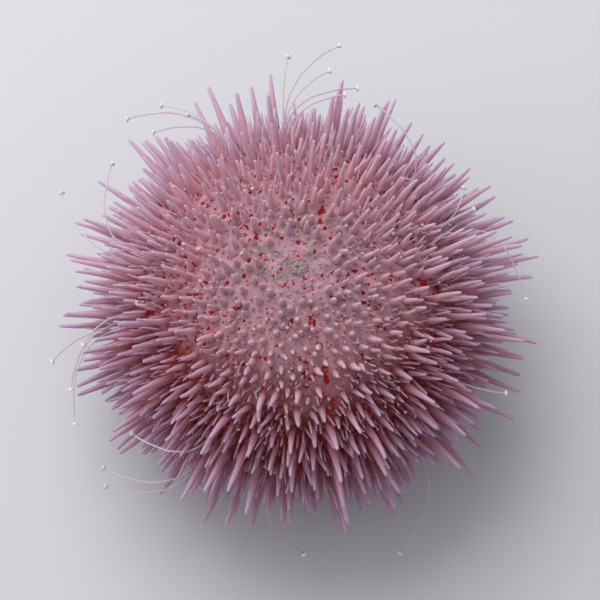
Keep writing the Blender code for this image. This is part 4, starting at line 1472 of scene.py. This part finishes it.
class URCHIN_OT_mouth(bpy.types.Operator):
    """The folded skin across the lower opening, the lip round the mouth, and ten stubby feet round it"""

    bl_idname = "urchin.mouth"
    bl_label = "Mouth skin"

    def execute(self, context):
        shell = grown(context)[0]
        edge = float(shell.at(shell.bottom)[1])
        skin = turned_shape("mouth_skin", 150, softened(softened(measured(MOUTH_PROFILE, edge))))
        points = points_of(skin)
        turn = np.arctan2(points[:, 1], points[:, 0])
        plan = np.hypot(points[:, 0], points[:, 1]) / MM
        low = points[:, 2] < edge + 1.2 * MM
        folds = np.cos(turn * 25 + 0.8 * np.sin(turn * 5)) * np.clip((plan - 2.6) / 1.5, 0, 1)
        folds *= np.clip((9.9 - plan) / 2.0, 0, 1)
        rings = 0.35 * np.cos(plan * 4.2 + 0.7 * np.sin(turn * 10))
        points[:, 2] += low * (folds + rings * np.clip((plan - 3.5) / 2, 0, 1)) * 0.11 * MM
        set_points(skin, points)

        stub = turned_shape("stub", 10, measured(STUB_PROFILE))
        pieces = [skin]
        for number in range(5):
            for side in (-1, 1):
                azimuth = math.radians(SECTOR_KINDS[0][1] + number * SECTOR_STEP + side * STUB_ANGLE)
                place = plan_point(azimuth, STUB_AT, edge + 0.25 * MM)
                turn = Matrix.Rotation(azimuth, 4, "Z") @ Matrix.Rotation(math.pi - 0.35, 4, "Y")
                pieces.append(moved_copy(stub, Matrix.Translation(place) @ turn))
        bpy.data.objects.remove(stub, do_unlink=True)
        mouth = join("mouth_skin", pieces)
        set_on_axis(mouth)
        dress(mouth, mouth_material(context.scene.urchin_colours), "peristome", "peristome")
        return {"FINISHED"}


class URCHIN_OT_teeth(bpy.types.Operator):
    """The five keeled teeth, which lean together to one point"""

    bl_idname = "urchin.teeth"
    bl_label = "Teeth"

    def execute(self, context):
        material = enamel_material(context.scene.urchin_colours)
        low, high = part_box("tooth_1")
        length = high.z - low.z
        template = start_disc("tooth", 8, 0.62 * MM)
        bpy.ops.transform.resize(value=(0.8, 1.0, 1.0))
        for drop, size, inward in TOOTH_STEPS:
            extrude(-drop * length, size, 0.95)
            bpy.ops.transform.translate(value=(-inward * MM, 0.0, 0.0))
        bpy.ops.mesh.bevel(offset=0.05 * MM, segments=2, affect="EDGES")
        close_shape()
        smooth_over(template, 2)
        for number in range(5):
            azimuth = math.radians(SECTOR_KINDS[1][1] + number * SECTOR_STEP)
            top = AXIS + plan_point(azimuth, TOOTH_AT, high.z - 0.02 * MM)
            tooth = moved_copy(template, Matrix.Translation(top) @ Matrix.Rotation(azimuth, 4, "Z"))
            tooth.name = tooth.data.name = f"chisel_tooth_{number + 1}"
            dress(tooth, material, "tooth", f"tooth_{number + 1}")
        bpy.data.objects.remove(template, do_unlink=True)
        return {"FINISHED"}


class URCHIN_OT_long_spines(bpy.types.Operator):
    """The long blunt spines, one where each of the solids' spines stands"""

    bl_idname = "urchin.long_spines"
    bl_label = "Long spines"

    def execute(self, context):
        sizes, colours = context.scene.urchin_spines, context.scene.urchin_colours
        shell, spines = grown(context)[:2]
        rng = np.random.default_rng(SEED + 1)
        roots, tips = roots_of(spines), tips_of(spines)
        spans = tips - roots
        lengths = np.linalg.norm(spans, axis=1)
        tips = above_floor(roots, spans / lengths[:, None], lengths)
        slimness = 0.5 + 0.5 * np.clip(lengths / (11 * MM), 0.0, 1.1)
        radii = SPINE_RADIUS * slimness * rng.uniform(0.92, 1.12, len(roots))
        distances, azimuths = places_of(spines)
        template = copied_shape(10, LONG_PROFILE)
        item = plant("long_spines", template, shell, roots, tips, radii, distances, azimuths, rng, sizes.bend)
        material = spine_material("long_spine", colours, shell.top, 12, (0.66, 0.43, 0.51))
        dress(item, material, "interambulacrum")
        return {"FINISHED"}


class URCHIN_OT_short_spines(bpy.types.Operator):
    """The middle, short and fine spines that fill the skin between the long ones"""

    bl_idname = "urchin.short_spines"
    bl_label = "Short spines"

    def execute(self, context):
        sizes, colours = context.scene.urchin_spines, context.scene.urchin_colours
        shell, spines, small, feet = grown(context)
        rng = np.random.default_rng(SEED + 2)
        ground = Ground(shell, SEED + 3)
        ground.take(roots_of(spines), COAT_LONG_ROOM)
        ground.take(roots_of(small), sizes.middle_space)
        ground.take(roots_of(feet), COAT_FOOT_ROOM)
        first, last = shell.top + COAT_EDGES[0], shell.bottom - COAT_EDGES[1]
        material = spine_material("short_spine", colours, shell.top, 8, (0.78, 0.50, 0.55))
        for size, (tries, share, sides, profile, parts) in COAT.items():
            name, radius = f"{size}_spines", getattr(sizes, f"{size}_radius")
            places = ground.scatter(tries, getattr(sizes, f"{size}_space"), first, last)
            kept = (lane_gap(shell, *places[:2]) > LANE_WIDTH / 2) | (places[0] > LANE_END)
            if size == "fine":
                kept |= rng.random(len(kept)) > LANE_FINE_SHARE
            places = [values[kept] for values in places]
            if size == "short":
                upper = ground.scatter(LID_SPINE_TRIES, LID_SPINE_ROOM, LID_SPINE_FIRST, first)
                places = [np.concatenate(both) for both in zip(places, upper)]
            distances, azimuths, roots, normals = places
            shares = (distances - shell.top) / (shell.bottom - shell.top)
            usual = np.interp(shares, COAT_LENGTH_AT, COAT_LENGTH) * share
            lengths = usual * rng.uniform(0.72, 1.28, len(roots))
            tips = above_floor(roots, leaning(normals, rng, 3.0, 17.0), lengths)
            if size == "middle":
                crown = (roots_of(small), tips_of(small), *places_of(small))
                pairs = zip(crown, (roots, tips, distances, azimuths))
                roots, tips, distances, azimuths = (np.concatenate(both) for both in pairs)
            radii = radius * rng.uniform(0.8, 1.15, len(roots))
            if size != "middle":
                young = np.interp(distances, YOUNG_AT, YOUNG_SIZE)
                radii *= young
                tips = roots + (tips - roots) * young[:, None]
            template = copied_shape(sides, profile)
            order = np.argsort(distances)
            for number, part in enumerate(np.array_split(order, parts)):
                label = name if parts == 1 else f"{name}_{number + 1}"
                values = (item[part] for item in (roots, tips, radii, distances, azimuths))
                item = plant(label, template, shell, *values, rng, sizes.bend)
                dress(item, material, "ambulacrum")
        return {"FINISHED"}


def thread(foot, template, steps, radius, sucker, phase):
    """Corners of a tube foot with a slightly wavy stalk and a cupped sucker, as rows of points."""
    path = foot.path(steps)
    along = (path[-1] - path[-2]).normalized()
    wave = along.orthogonal().normalized() * radius * 0.5
    base = 1.4 * radius
    stations = [(foot.root - (foot.bend - foot.root).normalized() * 0.5 * MM, base), (foot.root, base)]
    for index, point in enumerate(path[1:-1]):
        stations.append((point + wave * math.sin(phase + 1.9 * index), radius))
    for back, wide in SUCKER_PROFILE:
        stations.append((foot.tip - along * back * sucker, max(radius * 0.9, sucker * wide)))
    places = np.array([tuple(point) for point, size in stations])
    widths = np.array([size for point, size in stations])
    tangents = np.gradient(places[: len(SUCKER_PROFILE) * -1 + 2], axis=0)
    tangents /= np.linalg.norm(tangents, axis=1)[:, None]
    tangents = np.concatenate((tangents, np.tile(np.array(along), (len(places) - len(tangents), 1))))
    first, second = sideways_of(tangents)
    rings = template.rings
    corners = first[rings] * template.corners[:, 0:1] + second[rings] * template.corners[:, 1:2]
    return places[rings] + corners * widths[rings][:, None]


class URCHIN_OT_tube_feet(bpy.types.Operator):
    """The stretched tube feet with their white suckers, and the short ones along the rows of pores"""

    bl_idname = "urchin.tube_feet"
    bl_label = "Tube feet"

    def execute(self, context):
        sizes = context.scene.urchin_feet
        shell, spines, _, feet = grown(context)
        rng = np.random.default_rng(SEED + 4)
        roots = roots_of(spines)
        short = []
        for row in pore_rows():
            for number in range(sizes.short_count):
                share = (number + 0.2 + 0.6 * rng.random()) / sizes.short_count
                distance = shell.top + (shell.bottom - shell.top) * (0.05 + 0.92 * share)
                azimuth = math.radians(row) + (rng.random() - 0.5) * 1.6 * MM / float(shell.at(distance)[0])
                root, normal = shell.surface(distance, azimuth)
                if np.min(np.linalg.norm(roots - np.array(root), axis=1)) < SHORT_FOOT_ROOM:
                    continue
                usual = float(np.interp(share, SHORT_FOOT_LENGTH_AT, SHORT_FOOT_LENGTH))
                length = usual * MM * rng.uniform(0.6, 1.3)
                tip = root + (normal + Vector(rng.normal(0, 0.22, 3))).normalized() * length
                tip.z = max(tip.z, 1.0 * MM)
                short.append(Foot(root, root + normal * length * 0.55, tip, distance, azimuth))
        # name, feet, steps and sides of a stalk, size of the sucker and its colour
        kinds = (
            ("tube_feet", feet, 13, 8, 1.0, (0.84, 0.80, 0.84)),
            ("short_tube_feet", short, 4, 6, 0.6, (0.55, 0.38, 0.44)),
        )
        for name, group, steps, sides, small, chalk in kinds:
            rings = steps + 1 + len(SUCKER_PROFILE)
            template = copied_shape(sides, [(0.0, ring / (rings - 1), 1.0) for ring in range(rings)])
            radius, sucker = sizes.radius, sizes.sucker * small
            points = [thread(foot, template, steps, radius, sucker, rng.random() * TAU) for foot in group]
            share = np.tile(np.minimum(template.rings / (steps + 2), 1.0), (len(group), 1))
            distances, azimuths = places_of(group)
            item = joined_copies(name, template, shell, np.array(points), share, distances, azimuths, rng)
            dress(item, foot_material(name, context.scene.urchin_colours, chalk), "ambulacrum")
        return {"FINISHED"}


class URCHIN_OT_pincers(bpy.types.Operator):
    """The tiny three-jawed pincers on stalks that stand among the spines"""

    bl_idname = "urchin.pincers"
    bl_label = "Pincers"

    def execute(self, context):
        sizes = context.scene.urchin_feet
        shell, spines, _, feet = grown(context)
        rng = np.random.default_rng(SEED + 5)
        ground = Ground(shell, SEED + 6)
        ground.take(roots_of(spines), PINCER_SPINE_ROOM)
        ground.take(roots_of(feet), PINCER_FOOT_ROOM)
        places = ground.scatter(sizes.pincers * 3, PINCER_ROOM, shell.top + 1 * MM, shell.bottom - 1 * MM)
        distances, azimuths, roots, normals = (values[: sizes.pincers] for values in places)
        template = copied_shape(6, PINCER_PROFILE)
        outer = template.rings >= 3
        template.corners[outer, :2] *= np.where(np.arange(outer.sum()) % 2, 0.62, 1.0)[:, None]
        directions = leaning(normals, rng, 4.0, 24.0)
        tips = above_floor(roots, directions, rng.uniform(*PINCER_LENGTH, len(roots)) * MM)
        radii = PINCER_RADIUS * rng.uniform(0.9, 1.2, len(roots))
        item = plant("pincers", template, shell, roots, tips, radii, distances, azimuths, rng, PINCER_BEND)
        dress(item, pincer_material(), "interambulacrum")
        return {"FINISHED"}


def aimed_at(item, target):
    """Turns a light or a camera towards a point."""
    item.rotation_euler = (target - item.location).to_track_quat("-Z", "Y").to_euler()


def add_lamp(name, place, width, power, target):
    """A square soft light at a place from its target."""
    lamp = bpy.data.lights.new(name, "AREA")
    lamp.shape, lamp.size, lamp.energy = "SQUARE", width, power
    item = bpy.data.objects.new(name, lamp)
    bpy.context.scene.collection.objects.link(item)
    item.location = target + Vector(place)
    aimed_at(item, target)


class URCHIN_OT_stage(bpy.types.Operator):
    """The pale floor, the soft lights and the camera that looks down from the front"""

    bl_idname = "urchin.stage"
    bl_label = "Stage"

    def execute(self, context):
        scene, sizes = context.scene, context.scene.urchin_stage
        deselect()
        bpy.ops.mesh.primitive_plane_add(size=FLOOR_WIDTH, location=(0.0, 0.0, 0.0))
        floor = context.object
        floor.name = floor.data.name = "studio_floor"
        floor.data.materials.append(floor_material(sizes.floor))
        floor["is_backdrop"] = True

        middle = AXIS + Vector((0.0, 0.0, CENTRE_HEIGHT))
        add_lamp("key_light", *KEY_LIGHT, sizes.key, middle)
        add_lamp("fill_light", *FILL_LIGHT, sizes.fill, middle)
        world = bpy.data.worlds.new("studio_sky")
        world.use_nodes = True
        sky = world.node_tree.nodes["Background"]
        sky.inputs["Color"].default_value = SKY_COLOUR
        sky.inputs["Strength"].default_value = sizes.sky
        scene.world = world
        scene.view_settings.view_transform = "Standard"

        data = bpy.data.cameras.new("camera")
        camera = bpy.data.objects.new("camera", data)
        scene.collection.objects.link(camera)
        toward = Vector((0.0, -math.cos(CAMERA_RISE), math.sin(CAMERA_RISE)))
        upward = Vector((0.0, math.sin(CAMERA_RISE), math.cos(CAMERA_RISE)))
        pixel = sizes.view_width / PICTURE_PIXELS
        target = middle + Vector((AIM_RIGHT * pixel, 0.0, 0.0)) + upward * AIM_UP * pixel
        camera.location = target + toward * sizes.distance
        aimed_at(camera, target)
        data.lens = data.sensor_width * sizes.distance / sizes.view_width
        data.clip_end = CAMERA_REACH
        scene.camera = camera
        return {"FINISHED"}


class URCHIN_PT_pieces(bpy.types.Panel):
    """Sizes and colours of the sea urchin, and a button for each group of its pieces and for the stage"""

    bl_idname = "URCHIN_PT_pieces"
    bl_label = "Sea urchin"
    bl_space_type = "VIEW_3D"
    bl_region_type = "UI"
    bl_category = "Urchin"

    def draw(self, context):
        layout = self.layout
        for group in GROUPS:
            settings = getattr(context.scene, group)
            box = layout.box()
            for name in settings.bl_rna.properties.keys():
                if name not in ("rna_type", "name"):
                    box.prop(settings, name)
        for operator in OPERATORS:
            layout.operator(operator.bl_idname)


GROUPS = {
    "urchin_shell": ShellSizes,
    "urchin_spines": SpineSizes,
    "urchin_feet": FootSizes,
    "urchin_colours": Colours,
    "urchin_stage": StageSizes,
}
OPERATORS = (
    URCHIN_OT_skin,
    URCHIN_OT_lid,
    URCHIN_OT_vent,
    URCHIN_OT_mouth,
    URCHIN_OT_teeth,
    URCHIN_OT_long_spines,
    URCHIN_OT_short_spines,
    URCHIN_OT_tube_feet,
    URCHIN_OT_pincers,
    URCHIN_OT_stage,
)


def register():
    for name, group in GROUPS.items():
        bpy.utils.register_class(group)
        setattr(bpy.types.Scene, name, PointerProperty(type=group))
    for operator in OPERATORS:
        bpy.utils.register_class(operator)
    bpy.utils.register_class(URCHIN_PT_pieces)


def unregister():
    bpy.utils.unregister_class(URCHIN_PT_pieces)
    for operator in reversed(OPERATORS):
        bpy.utils.unregister_class(operator)
    for name, group in GROUPS.items():
        delattr(bpy.types.Scene, name)
        bpy.utils.unregister_class(group)


def main():
    register()
    bpy.ops.urchin.skin()
    bpy.ops.urchin.lid()
    bpy.ops.urchin.vent()
    bpy.ops.urchin.mouth()
    bpy.ops.urchin.teeth()
    bpy.ops.urchin.long_spines()
    bpy.ops.urchin.short_spines()
    bpy.ops.urchin.tube_feet()
    bpy.ops.urchin.pincers()
    bpy.ops.urchin.stage()
    boxes = {"cad": CAD_BOX, "visual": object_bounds()}
    {name: [list(corner) for corner in box] for name, box in boxes.items()}


if __name__ == "__main__":
    main()
